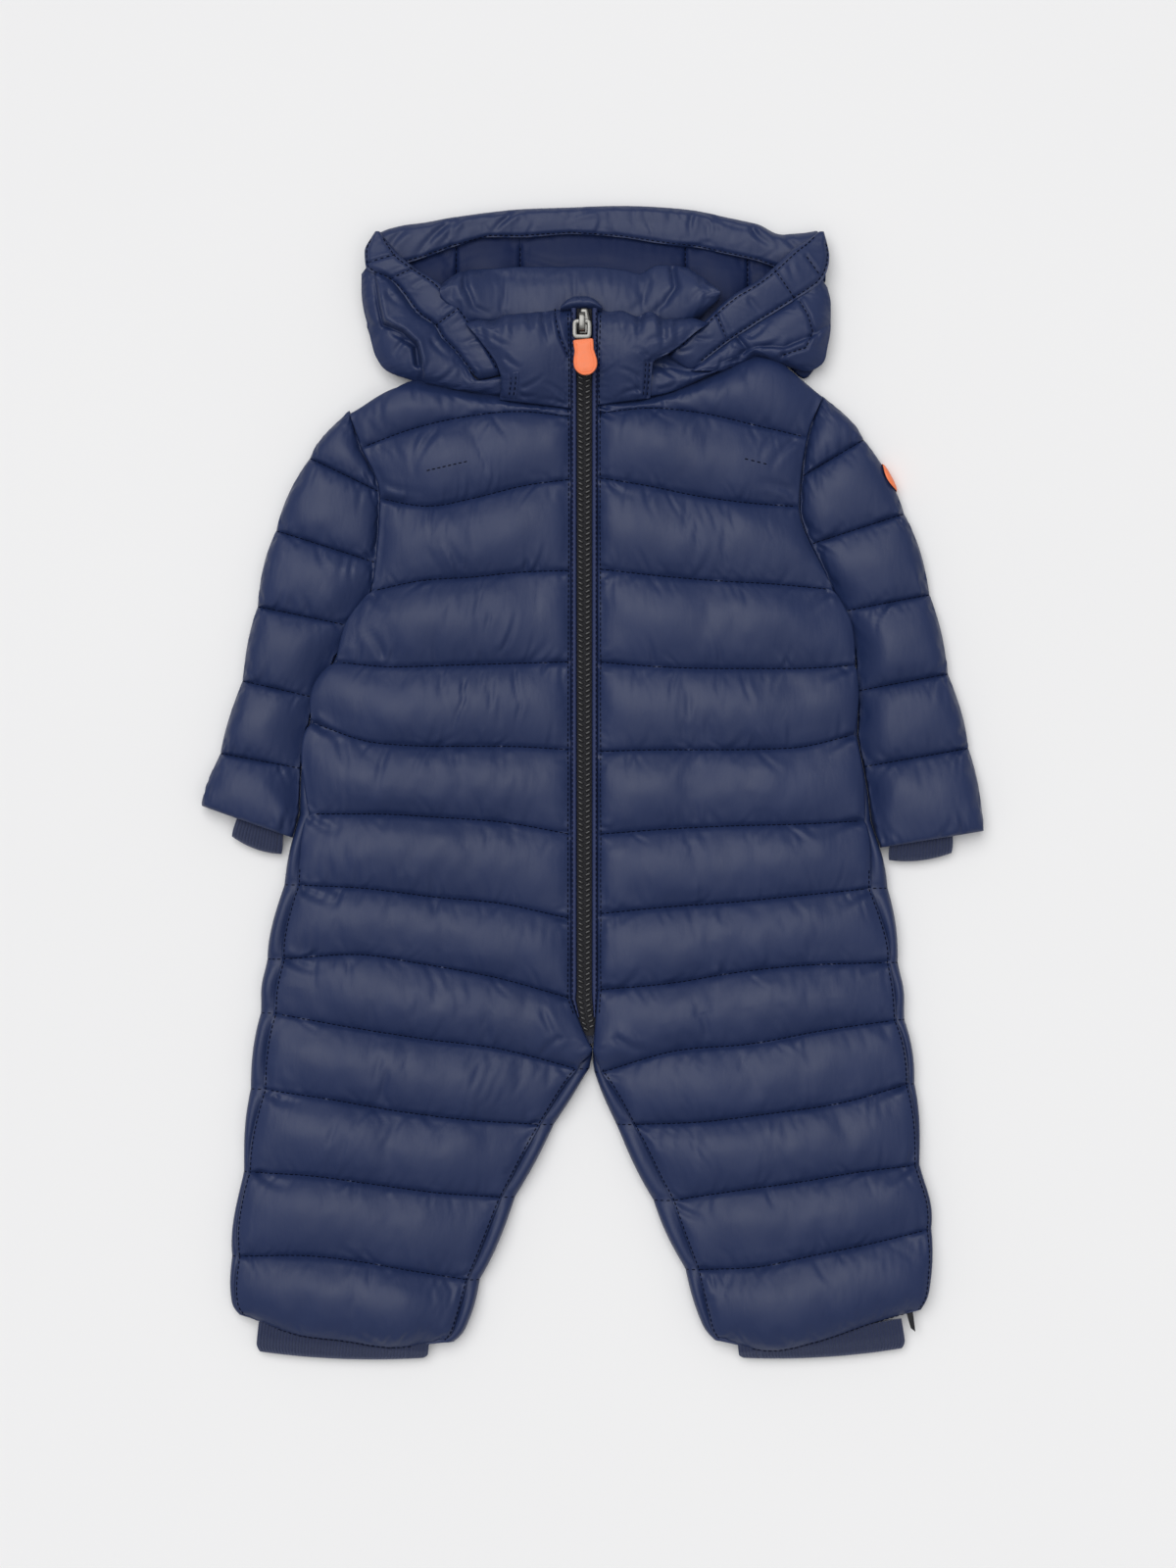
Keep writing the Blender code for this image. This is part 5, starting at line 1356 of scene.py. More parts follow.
@dataclass
class Collar:
    """The stand-up collar: a gathered front on each side, and the back whose inner face shows."""

    nylon: Material
    gather: float = 1.5
    gather_pitch: float = 4.6
    neck_height: float = 18.5
    sag: float = 6.5

    def front(self, side: Side) -> Panel:
        """Returns one collar front, rising from the neck seam over the collar's back to its gathered top."""
        rows = COLLAR[side]
        stations = np.linspace(0, len(rows) - 1, 40)
        shares = np.linspace(0, 1, 32)
        v, u = (stations / (len(rows) - 1))[:, None], shares[None, :]
        plan = across_plan(rows, stations, shares)
        climb = ramp(0, 0.7, v)
        outside = lerp(self.neck_height, COLLAR_FRONT_HEIGHT, climb * (2 - climb))
        outside = outside + 2.0 * dome(u, 2) * dome(v, 2.5)
        zip_side = ZIP_EDGE_HEIGHT + zip_rise(221 + 59 * v)
        outside = zip_side + (outside - zip_side) * (0.3 + 0.7 * ease(0, 0.5, u)) - 2.5 * ease(0.8, 1, u)
        outside = outside - self.sag * ramp(0.86, 1, v) ** 2
        gathered = self.gather * ripple(plan[:, :, 0], 0 * plan[:, :, 0], self.gather_pitch, 33)
        outside = outside + gathered * ramp(0.6, 0.92, v) * ramp(0, 0.15, u)
        inside = lerp(HOOD_INSIDE, COLLAR_FRONT_INSIDE - 1.5, ramp(0.05, 0.62, v))
        plan[:, :, 1] += 2.2 * ripple(plan[:, :, 0], 0 * v, 8.5, 31) * ramp(0.6, 1, v) * ramp(0, 0.12, u)
        return Panel(f"collar_front_{side.word}", plan, outside, inside, self.nylon, 0.7,
                     COLLAR_CREASES[side], COLLAR_FOLDS[side])

    def back(self) -> Panel:
        """Returns the collar's back: one broad roll whose two ends turn over to the front."""
        across = np.linspace(COLLAR_BACK[0].x, COLLAR_BACK[-1].x, 74)
        shares = np.linspace(0, 1, 24)
        low, high = COLLAR_BACK_LEVELS
        v = shares[:, None]
        lobes = (ease(38, 64, across) + ease(-50, -80, across))[None, :]
        over = low + 3.0 + (high - low - 1.0) * dome(v, 2.4) + 6.5 * lobes * dome(v, 3)
        plan = column_plan(COLLAR_BACK, across, shares)
        return Panel("collar_back_padded", plan, over, low, self.nylon, 0.6, (), COLLAR_BACK_FOLDS, 0.5)

    def right_tab(self, front: Panel) -> Panel:
        """Returns the hood's end tab that lies on the right collar, sewn down with two lines."""
        down, over = np.linspace(0, 1, 16), np.linspace(0, 1, 12)
        rows = 0.04 + 0.36 * down
        size = np.array(front.surface.shape[:2]) - 1
        v, u = down[:, None], over[None, :]
        exact = resample(front.surface, rows * size[0], lerp(0.77, 0.99, over) * size[1])
        exact[:, :, 0] += 2.0 * v * (1 - u)
        height = exact[:, :, 2] + 0.2 + 0.8 * dome(v, 6) * dome(u, 6)
        folds = [Fold(tuple(map(tuple, exact[1:-1:2, column, :2])), 0.9, 0.8, True) for column in (2, 5)]
        return Panel("hood_tab_right_sewn", exact[:, :, :2], height, exact[:, :, 2] - 0.4, self.nylon, 0.3, (), folds)

    def left_tab(self) -> Panel:
        """Returns the hood's end tab beside the left collar, with the cloth that runs on under the hood."""
        across = np.linspace(34, 82, 30)
        shares = np.linspace(0, 1.9, 24)
        v, u = shares[:, None], np.linspace(0, 1, 30)[None, :]
        over = 12.0 + (4.0 + 4.0 * dome(np.minimum(v, 1.0), 2) - 3.0 * u) * (1 - ease(0.9, 1.6, v))
        plan = column_plan(LEFT_TAB, across, shares)
        plan[:, :, 1] += 4.0 * ramp(1, 1.9, v)
        return Panel("hood_tab_left_sewn", plan, over, HOOD_INSIDE, self.nylon, 0.4, LEFT_TAB_CREASES)

    def guard(self) -> Panel:
        """Returns the small arched fold over the zip's top end."""
        across = np.linspace(-19, 5.5, 24)
        shares = np.linspace(0, 1, 12)
        over = (GUARD_LEVELS[0] + 3.5 + (GUARD_LEVELS[1] - GUARD_LEVELS[0] - 1.5) * dome(shares, 2))[:, None]
        over = over * np.ones((1, len(across))) - 2.0 * ramp(9, 13, abs(across + 6.5))[None, :]
        plan = column_plan(GUARD, across, shares)
        return Panel("zip_guard_fold", plan, over, GUARD_LEVELS[0], self.nylon, 0.2)


# ---- Zip ----

TAPE_LEVELS = (13.4, 14.9)
WELT_LEVELS = (13.4, 17.6)
HIP_SEAM_TOP, INNER_LEG_TOP = -50.0, -169.0
ZIP_TOP, ZIP_BOTTOM, WELT_BOTTOM, WELT_WIDTH = 279.0, -150.0, -139.0, 3.1
SLIDER_X, SLIDER_Y, SLIDER_HALF, SLIDER_LEVELS = -5.0, (263.0, 279.0), 4.25, (26.2, 30.8)
BRIDGE_X, BRIDGE_HALF, BRIDGE_Y, BRIDGE_LEVELS = -6.3, 2.0, (264.5, 276.5), (30.8, 35.0)
PULL_HALF, PULL_TOP, PULL_BOTTOM, PULL_LEVEL = 5.8, 271.6, 260.9, 32.2
GRIP_TOP, GRIP_LEVELS, GRIP_LENGTH, GRIP_TILT = 260.2, (30.3, 33.1), 21.2, math.radians(5.6)
GRIP_HALF_WIDTHS = ((0.0, 5.6), (0.6, 6.0), (3.5, 5.9), (6.5, 5.7), (9.5, 6.4), (12.5, 7.0))


def zip_edge(side: Side, y: Points) -> Points:
    """Returns where the front's or collar's edge runs beside the zip at height y."""
    stations = np.linspace(0, CROTCH_ROW, 200)
    heights = np.minimum.accumulate(line_height(side, stations, np.array([0.0]))[:, 0])
    return np.interp(-y, -heights, edge_x(side, stations, "x_zip"))


def welt_width(y: Points) -> Points:
    """Returns the welt's width, which narrows to its lower end."""
    return lerp(1.0, WELT_WIDTH, ramp(WELT_BOTTOM, -124, y))


def copies(name: str, template: bmesh.types.BMesh, frames: Points, material: Material) -> Piece:
    """Makes one mesh of many copies of a small shape.

    Args:
        name: The piece's name.
        template: The shape, in millimetres. It is freed.
        frames: One 3 by 4 placing for each copy: three axes as columns, then the place, in millimetres.
        material: What the copies are made of.
    """
    corners = np.array([vert.co[:] for vert in template.verts])
    faces = [[vert.index for vert in face.verts] for face in template.faces]
    template.free()
    places = np.einsum("nij,vj->nvi", frames[:, :, :3], corners) + frames[:, None, :, 3]
    count = len(corners)
    mesh = bpy.data.meshes.new(name)
    all_faces = [[index + count * k for index in face] for k in range(len(frames)) for face in faces]
    mesh.from_pydata((places.reshape(-1, 3) * MM).tolist(), [], all_faces)
    return link(name, mesh, material)


def axes_along(direction: Points, up: Points) -> Points:
    """Returns three unit axes as columns: along the direction, across it, and away from the surface."""
    along = direction / np.linalg.norm(direction, axis=1, keepdims=True)
    across = np.cross(up, along)
    across /= np.linalg.norm(across, axis=1, keepdims=True)
    return np.stack([along, across, np.cross(along, across)], axis=2)


@dataclass
class Stitching:
    """Lines of machine stitches, gathered into one piece."""

    name: str
    # The thread finish is near-black: partly the thread's own navy, partly painted shade along the seams.
    thread: Material
    pitch: float = 3.1
    length: float = 2.4
    thickness: float = 0.75

    def __post_init__(self) -> None:
        """Starts with no stitches."""
        self.frames = []

    def line(self, path: Points, lift: float = 0.18, gap: float = 0.0) -> None:
        """Adds stitches along a line.

        Args:
            path: Points along the line, in millimetres.
            lift: How far the thread's middle stands over the line.
            gap: How much of the line is left bare at each end.
        """
        steps = np.linalg.norm(np.diff(path, axis=0), axis=1)
        run = np.concatenate([[0.0], np.cumsum(steps)])
        count = int((run[-1] - 2 * gap) / self.pitch)
        if count < 1:
            return
        middle = gap + (np.arange(count) + 0.5) * (run[-1] - 2 * gap) / count

        def at(where: Points) -> Points:
            """Returns the points at distances along the line."""
            return np.stack([np.interp(where, run, path[:, k]) for k in range(3)], axis=1)

        direction = at(middle + self.length / 2) - at(middle - self.length / 2)
        axes = axes_along(direction, np.tile([0.0, 0.0, 1.0], (count, 1)))
        place = at(middle) + [0.0, 0.0, lift]
        self.frames.append(np.concatenate([axes, place[:, :, None]], axis=2))

    def build(self) -> Piece:
        """Builds all the stitches as one mesh."""
        template = bmesh.new()
        bmesh.ops.create_uvsphere(template, u_segments=5, v_segments=3, radius=0.5)
        bmesh.ops.rotate(template, verts=template.verts, matrix=Matrix.Rotation(math.pi / 2, 3, "Y"))
        bmesh.ops.scale(template, verts=template.verts, vec=(self.length, self.thickness, self.thickness))
        return copies(self.name, template, np.concatenate(self.frames), self.thread)


def ribbon(west: Points, east: Points, y: Points, z: Points) -> Points:
    """Returns a ribbon's points between its two edges, given each row's y and each point's height."""
    x = west[:, None] + (east - west)[:, None] * np.linspace(0, 1, z.shape[1])
    return np.dstack([x, np.broadcast_to(y[:, None], x.shape), z])


@dataclass
class Zip:
    """The closed zip: its tape, two rows of teeth, the welts that cover its edges, and the slider."""

    tape_cloth: Material
    welt_cloth: Material
    teeth_plastic: Material
    metal: Material
    pitch: float = 3.1
    lean: float = 0.45
    tooth: tuple = (3.3, 1.5, 2.0)
    tooth_lift: float = 0.6
    spread: float = 2.1
    first_tooth: float = -146.0

    def tape_edges(self, y: Points) -> tuple:
        """Returns the tape's two edges at heights up the suit."""
        covered = np.where(y >= WELT_BOTTOM, welt_width(y) + SEAM_GAP, 0.4)
        return (zip_edge(Side.RIGHT, y) + SEAM_GAP + covered, zip_edge(Side.LEFT, y) - SEAM_GAP - covered)

    def tape(self) -> Piece:
        """Builds the tape."""
        y = np.linspace(ZIP_BOTTOM, ZIP_TOP, 144)
        points = ribbon(*self.tape_edges(y), y, TAPE_LEVELS[1] + zip_rise(y)[:, None] * np.ones(7))
        piece = sheet_of("zip_tape_woven", points, self.tape_cloth)
        close_wall(piece, points - (0, 0, TAPE_LEVELS[1] - TAPE_LEVELS[0]))
        return piece

    def teeth(self) -> Piece:
        """Builds the two rows of teeth up to the slider."""
        template = bmesh.new()
        bmesh.ops.create_cube(template, size=1.0)
        bmesh.ops.scale(template, verts=template.verts, vec=self.tooth)
        bmesh.ops.bevel(template, geom=template.edges[:], offset=0.5, segments=2, profile=0.5,
                        affect="EDGES", material=-1)
        y = np.arange(self.first_tooth, SLIDER_Y[0] + 2, self.pitch / 2)
        west, east = self.tape_edges(y)
        turn = np.where(np.arange(len(y)) % 2 == 0, -1.0, 1.0)
        reach = np.minimum(self.spread, (east - west) / 2 - 1.4)
        x = (west + east) / 2 + turn * reach
        z = TAPE_LEVELS[1] + zip_rise(y) + self.tooth_lift
        frames = np.zeros((len(y), 3, 4))
        lean = turn * self.lean
        frames[:, :, :3] = np.eye(3)
        frames[:, 0, 0] = frames[:, 1, 1] = np.cos(lean)
        frames[:, 1, 0], frames[:, 0, 1] = np.sin(lean), -np.sin(lean)
        frames[:, :, 3] = np.stack([x, y, z], axis=1)
        return copies("zip_teeth", template, frames, self.teeth_plastic)

    def welt(self, side: Side, stitches: Stitching) -> Piece:
        """Builds the welt that covers one sewn edge of the zip."""
        sign = side.value
        y = np.linspace(WELT_BOTTOM, ZIP_TOP, 210)
        outer = zip_edge(side, y) - sign * SEAM_GAP
        inner = outer - sign * welt_width(y)
        height = WELT_LEVELS[1] - 1.3 * np.abs(2 * np.linspace(0, 1, 9) - 1) ** 3
        gather = 0.18 * ripple(np.full_like(y, 7.0 * sign), y, 4.0, 11)[:, None]
        points = ribbon(outer, inner, y, height + zip_rise(y)[:, None] + gather)
        piece = sheet_of(f"zip_welt_{side.word}_folded", points, self.welt_cloth)
        below = points.copy()
        below[:, :, 2] = WELT_LEVELS[0] + zip_rise(y)[:, None]
        close_wall(piece, below)
        stitches.line(points[:, 2], lift=0.05, gap=2.0)
        return piece

    def slider(self) -> list:
        """Builds the slider's body and the arched bridge that holds the pull."""
        low, high = SLIDER_LEVELS
        body = block("slider_body", (SLIDER_X - SLIDER_HALF, SLIDER_Y[0], low),
                     (SLIDER_X + SLIDER_HALF, SLIDER_Y[1], high), 1.5, self.metal, (0.8, 0.55))
        turn = np.linspace(0, np.pi, 17)
        middle, half = sum(BRIDGE_Y) / 2, (BRIDGE_Y[1] - BRIDGE_Y[0]) / 2 - 0.7
        rise = BRIDGE_LEVELS[1] - BRIDGE_LEVELS[0] - 0.5
        path = np.stack([np.full(17, BRIDGE_X), middle + half * squarish(np.cos(turn)),
                         BRIDGE_LEVELS[0] - 0.8 + (rise + 0.6) * np.sin(turn) ** 0.6], axis=1)
        return [body, bar("slider_bridge", path, BRIDGE_HALF * 0.95, 0.65, self.metal)]

    def pull(self) -> Piece:
        """Builds the pull's metal frame, a rounded loop whose two prongs run down to the grip."""
        turn = np.linspace(0, 2 * np.pi, 49)
        half_wide, half_tall = PULL_HALF - 1.5, (PULL_TOP - PULL_BOTTOM) / 2 - 0.9
        x, y = squarish(np.cos(turn), 0.3) * half_wide, squarish(np.sin(turn), 0.3) * half_tall
        path = np.stack([BRIDGE_X + x, (PULL_TOP + PULL_BOTTOM) / 2 + y, np.full(49, PULL_LEVEL)], axis=1)
        return bar("pull_loop", path, 1.4, 0.75, self.metal, flat=True)


@dataclass
class Grip:
    """The pull's soft grip: a tongue with a round end and a fine rim near its edge."""

    rubber: Material
    rows: int = 60
    columns: int = 41
    edge_round: float = 0.9
    rim_inset: float = 1.5
    rim_depth: float = 0.35

    def build(self) -> Piece:
        """Builds the grip, turned as it hangs."""
        radius = GRIP_HALF_WIDTHS[-1][1]
        straight = np.linspace(0, GRIP_LENGTH - radius, self.rows // 2)
        turn = np.linspace(0, np.radians(87), self.rows // 2)[1:]
        down = np.concatenate([straight, GRIP_LENGTH - radius + radius * np.sin(turn)])
        table = np.array(GRIP_HALF_WIDTHS)
        half = np.concatenate([np.interp(straight, table[:, 0], table[:, 1]), radius * np.cos(turn)])
        half[0] -= 0.5
        across = np.sin(np.linspace(-np.pi / 2, np.pi / 2, self.columns))
        x = half[:, None] * across
        to_edge = np.minimum(half[:, None] * (1 - abs(across)), (GRIP_LENGTH - down)[:, None])
        to_edge = np.minimum(to_edge, down[:, None] + 0.25)
        low, high = GRIP_LEVELS
        edge = np.sqrt(np.clip(1 - (1 - np.clip(to_edge / self.edge_round, 0, 1)) ** 2, 0, 1))
        top = (low + high) / 2 + 0.1 + (high - low) / 2 * edge
        top = top - self.rim_depth * bell(to_edge, self.rim_inset, 0.32) + 0.3 * ease(1.6, 4.5, to_edge)
        down = np.broadcast_to(down[:, None], x.shape)
        cos, sin = math.cos(GRIP_TILT), math.sin(GRIP_TILT)
        place_x = BRIDGE_X + 0.6 + x * cos + down * sin
        place_y = GRIP_TOP + x * sin - down * cos
        piece = sheet_of("pull_grip_moulded", np.dstack([place_x, place_y, top]), self.rubber)
        face_up(piece)
        close_wall(piece, np.dstack([place_x, place_y, low + high - top + 0.1]))
        return piece


def block(name: str, low: tuple, high: tuple, rounding: float, material: Material,
          taper: tuple = (1.0, 1.0)) -> Piece:
    """Makes a box with rounded edges, in millimetres, whose ends in y are narrower by the tapers, lower end first."""
    bm = bmesh.new()
    bmesh.ops.create_cube(bm, size=1.0)
    whole = bm.verts[:] + bm.edges[:] + bm.faces[:]
    bmesh.ops.bisect_plane(bm, geom=whole, plane_co=(0, -0.15, 0), plane_no=(0, 1, 0))
    low, high = np.array(low), np.array(high)
    for vert in bm.verts:
        place = (low + high) / 2 + (high - low) * np.array(vert.co)
        if abs(vert.co.y) > 0.4:
            middle = (low[0] + high[0]) / 2
            place[0] = middle + (place[0] - middle) * taper[int(vert.co.y > 0)]
        vert.co = place
    bmesh.ops.bevel(bm, geom=bm.edges[:], offset=rounding, segments=4, profile=0.5, affect="EDGES", material=-1)
    bmesh.ops.scale(bm, verts=bm.verts, vec=(MM, MM, MM))
    return piece_from(bm, name, material)


def bar(name: str, path: Points, half_wide: float, half_thick: float, material: Material,
        flat: bool = False) -> Piece:
    """Makes a rounded strip along a path, standing over x, or lying flat in plan and joined to a ring.

    Args:
        name: The piece's name.
        path: Places along the strip's middle, in millimetres.
        half_wide: Half the strip's width.
        half_thick: Half its thickness.
        material: What it is made of.
        flat: Whether it lies in plan as a closed ring.
    """
    step = np.roll(path, -1, axis=0) - np.roll(path, 1, axis=0)
    if flat:
        step[0] = step[-1] = path[1] - path[-2]
    else:
        step[0], step[-1] = path[1] - path[0], path[-1] - path[-2]
    along = step / np.linalg.norm(step, axis=1, keepdims=True)
    thick = np.tile([0.0, 0.0, 1.0], (len(path), 1)) if flat else np.cross(along, [1.0, 0.0, 0.0])
    wide = np.cross(thick, along)
    turn = np.linspace(0, 2 * np.pi, 13)[:-1]
    across, out = squarish(np.cos(turn)) * half_wide, squarish(np.sin(turn)) * half_thick
    ring = path[:, None] + wide[:, None] * across[None, :, None] + thick[:, None] * out[None, :, None]
    piece = sheet_of(name, ring, material, closed=True)
    bm = bmesh.new()
    bm.from_mesh(piece.data)
    bmesh.ops.remove_doubles(bm, verts=bm.verts, dist=1e-7)
    bmesh.ops.holes_fill(bm, edges=bm.edges)
    bmesh.ops.recalc_face_normals(bm, faces=bm.faces)
    put_back(bm, piece, 60)
    return piece


@dataclass
class Patch:
    """The plain round patch on the left sleeve's outer edge, which shows as a thin crescent."""

    rubber: Material
    stations: tuple = (1.36, 1.72)
    angles: tuple = (157.0, 216.0)
    lift: float = 0.5
    thickness: float = 1.0
    lowest: float = 0.05

    def build(self, sleeve: "Sleeve") -> Piece:
        """Builds the patch over the sleeve's surface."""
        steps = np.linspace(-1, 1, 25)
        a, b = np.meshgrid(steps, steps, indexing="ij")
        across, along = a * np.sqrt(1 - b * b / 2), b * np.sqrt(1 - a * a / 2)
        stations = lerp(*self.stations, (across + 1) / 2)
        angles = lerp(*self.angles, (along + 1) / 2)

        def read(shift: float, turn: float) -> Points:
            """Returns the sleeve's points beside the patch's own."""
            rows = [sleeve.point(row + shift, angle_row + turn, SLEEVE_PUFF)[range(len(row)), range(len(row))]
                    for row, angle_row in zip(stations, angles)]
            return np.stack(rows)

        place = read(0.0, 0.0)
        outward = np.cross(read(0.05, 0.0) - read(-0.05, 0.0), read(0.0, 4.0) - read(0.0, -4.0))
        outward /= np.linalg.norm(outward, axis=2, keepdims=True)
        outward *= np.sign(outward[:, :, :1])
        reach = np.sqrt(across ** 2 + along ** 2)[:, :, None]
        top = place + outward * (self.lift + self.thickness * np.sqrt(np.clip(1 - reach ** 4, 0, 1)))
        under = place + outward * 0.3
        for face in (top, under):
            face[:, :, 2] = np.maximum(face[:, :, 2], self.lowest)
        piece = sheet_of("sleeve_patch_plain", top, self.rubber)
        close_wall(piece, under)
        return piece


@dataclass
class HemTab:
    """The small folded black tape that sticks out of the left leg's hem."""

    cloth: Material
    rows: int = 16
    columns: int = 9
    root: tuple = (187.8, -314.0, 8.6)
    length: float = 11.0
    slant: float = 2.2
    half_width: float = 2.0
    ply: float = 0.6

    def build(self) -> Piece:
        """Builds the tab, slanting outwards and twisted a little."""
        down, across = np.linspace(0, 1, self.rows)[:, None], np.linspace(-1, 1, self.columns)[None, :]
        root_x, root_y, level = self.root
        x = root_x + self.slant * down + (self.half_width - 0.7 * down) * across
        y = root_y - self.length * down - across * down
        ply = self.ply * np.sqrt(np.clip(1 - ramp(0.85, 1, down) ** 2, 0.15, 1))
        middle = level + 0.7 * np.sin(2.5 * down) * across
        piece = sheet_of("hem_tab_folded", np.dstack([x, y, middle + ply]), self.cloth)
        face_up(piece)
        close_wall(piece, np.dstack([x, y, middle - ply]))
        return piece


# ---- Finishes ----

def operator(operation: str, swapped: bool = False) -> Callable:
    """Returns a method that joins two values by a Math node, the other one first if swapped."""

    def method(self: "Wire", other: object) -> "Wire":
        """Returns the Math node's result."""
        first, second = (other, self) if swapped else (self, other)
        return self.recipe.wire(self.recipe.node("ShaderNodeMath", {"operation": operation}, {0: first, 1: second}))

    return method


class Wire:
    """A node's output with arithmetic on it: an expression adds its Math nodes."""

    __add__, __radd__ = operator("ADD"), operator("ADD", True)
    __sub__, __rsub__ = operator("SUBTRACT"), operator("SUBTRACT", True)
    __mul__, __rmul__ = operator("MULTIPLY"), operator("MULTIPLY", True)
    __pow__ = operator("POWER")

    def __init__(self, recipe: "Recipe", socket: bpy.types.NodeSocket) -> None:
        """Wraps one output of a recipe's node."""
        self.recipe, self.socket = recipe, socket


class Recipe:
    """A material under construction: one Principled shader and the nodes that feed it."""

    def __init__(self, name: str) -> None:
        """Starts a material with a bare Principled shader."""
        self.material = bpy.data.materials.new(name)
        self.material.use_nodes = True
        self.tree = self.material.node_tree
        self.shader = self.tree.nodes["Principled BSDF"]
        self.place = self.wire(self.node("ShaderNodeTexCoord", {}, {}), "Object")

    def wire(self, node: bpy.types.Node, output: object = 0) -> Wire:
        """Returns one output of a node."""
        return Wire(self, node.outputs[output])

    def put(self, socket: bpy.types.NodeSocket, value: object) -> None:
        """Sets a socket to a value, or links a wire to it."""
        if isinstance(value, Wire):
            self.tree.links.new(value.socket, socket)
        elif isinstance(value, tuple) and len(value) == 3 and socket.type == "RGBA":
            socket.default_value = (*value, 1.0)
        else:
            socket.default_value = value

    def node(self, kind: str, settings: dict, inputs: dict) -> bpy.types.Node:
        """Adds a node.

        Args:
            kind: The node's type.
            settings: Its properties, set first.
            inputs: Values or wires for its sockets, by name or number.

        Returns:
            The new node.
        """
        made = self.tree.nodes.new(kind)
        for name, value in settings.items():
            setattr(made, name, value)
        for name, value in inputs.items():
            self.put(made.inputs[name], value)
        return made

    def noise(self, scale: float, detail: float, stretch: tuple = (1.0, 1.0, 1.0), warp: float = 0.0) -> Wire:
        """Returns noise on object coordinates, with features of about 1/scale metres."""
        turned = self.node("ShaderNodeMapping", {}, {"Vector": self.place, "Scale": stretch})
        node = self.node("ShaderNodeTexNoise", {}, {
            "Vector": self.wire(turned), "Scale": scale, "Detail": detail, "Distortion": warp})
        return self.wire(node)

    def wave(self, scale: float, direction: str, warp: float = 0.0) -> Wire:
        """Returns a fine wave across one axis of the object."""
        node = self.node("ShaderNodeTexWave", {"bands_direction": direction}, {
            "Vector": self.place, "Scale": scale, "Distortion": warp, "Detail": 1.0})
        return self.wire(node, "Fac")

    def blend(self, share: Wire, low: tuple, high: tuple) -> Wire:
        """Returns a colour between two, by a share."""
        node = self.node("ShaderNodeMix", {"data_type": "RGBA"}, {0: share, 6: low, 7: high})
        return self.wire(node, 2)

    def relief(self, *layers: tuple) -> Wire:
        """Returns a normal with layers of relief, each a height and its depth in metres."""
        before = {}
        for height, depth in layers:
            bump = self.node("ShaderNodeBump", {}, {"Height": height, "Distance": depth, "Strength": 1.0, **before})
            before = {"Normal": self.wire(bump)}
        return before["Normal"]

    def finish(self, **values: object) -> Material:
        """Sets the shader's sockets, named with _ for a space, and returns the material."""
        for name, value in values.items():
            self.put(self.shader.inputs[name.replace("_", " ")], value)
        return self.material


@dataclass(frozen=True)
class Nylon:
    """A satin woven nylon, thin and slightly crumpled."""

    name: str
    low: tuple
    high: tuple
    roughness: float = 0.46
    gloss: float = 0.34

    def make(self) -> Material:
        """Returns the material."""
        book = Recipe(self.name)
        broad = book.noise(14.0, 3.0)
        crumple = book.noise(70.0, 3.0, (1.0, 0.5, 1.0), 0.4)
        fine = book.noise(420.0, 2.0, (1.0, 0.6, 1.0))
        weave = book.wave(520.0, "X") + book.wave(520.0, "Y")
        colour = book.blend((broad * 0.7 + crumple * 0.3) ** 1.2, self.low, self.high)
        pucker = book.noise(230.0, 2.0, (1.0, 0.25, 1.0), 0.3)
        normal = book.relief((crumple, 0.00022), (pucker, 0.00016), (fine, 0.00005), (weave, 0.000012))
        return book.finish(
            Base_Color=colour, Roughness=(crumple - 0.5) * 0.2 + self.roughness, Normal=normal,
            Specular_IOR_Level=self.gloss, Sheen_Weight=0.04, Sheen_Roughness=0.4,
            Sheen_Tint=(0.55, 0.62, 0.9, 1.0), IOR=1.5)


@dataclass(frozen=True)
class Knit:
    """A ribbed knit of fine yarn."""

    name: str
    low: tuple
    high: tuple

    def make(self) -> Material:
        """Returns the material."""
        book = Recipe(self.name)
        loops = book.wave(640.0, "Y", 1.2)
        fuzz = book.noise(900.0, 3.0)
        colour = book.blend(loops * 0.4 + fuzz * 0.6, self.low, self.high)
        return book.finish(
            Base_Color=colour, Roughness=0.88, Normal=book.relief((loops, 0.00012), (fuzz, 0.0002)),
            Sheen_Weight=0.35, Sheen_Roughness=0.5, Sheen_Tint=(0.6, 0.66, 0.9, 1.0))


@dataclass(frozen=True)
class Woven:
    """A close woven tape or welt."""

    name: str
    low: tuple
    high: tuple
    roughness: float
    relief: float = 0.00012
    gloss: float = 0.5

    def make(self) -> Material:
        """Returns the material."""
        book = Recipe(self.name)
        weave = book.wave(900.0, "Y") * 0.5 + book.wave(900.0, "X") * 0.5
        slub = book.noise(160.0, 3.0)
        colour = book.blend(weave * 0.4 + slub * 0.6, self.low, self.high)
        normal = book.relief((weave, self.relief), (slub, self.relief * 3))
        return book.finish(Base_Color=colour, Roughness=(slub - 0.5) * 0.15 + self.roughness, Normal=normal,
                           Specular_IOR_Level=self.gloss)


@dataclass(frozen=True)
class Hard:
    """A smooth moulded or cast finish: metal, plastic or rubber, with faint handling marks."""

    name: str
    colour: tuple
    roughness: float
    metallic: float = 0.0
    grain: float = 300.0
    relief: float = 0.00002

    def make(self) -> Material:
        """Returns the material."""
        book = Recipe(self.name)
        marks = book.noise(self.grain, 4.0)
        darker = tuple(0.82 * part for part in self.colour)
        colour = book.blend(marks, darker, self.colour)
        return book.finish(
            Base_Color=colour, Metallic=self.metallic, Roughness=(marks - 0.5) * 0.3 + self.roughness,
            Normal=book.relief((marks, self.relief)))


# ---- Studio ----

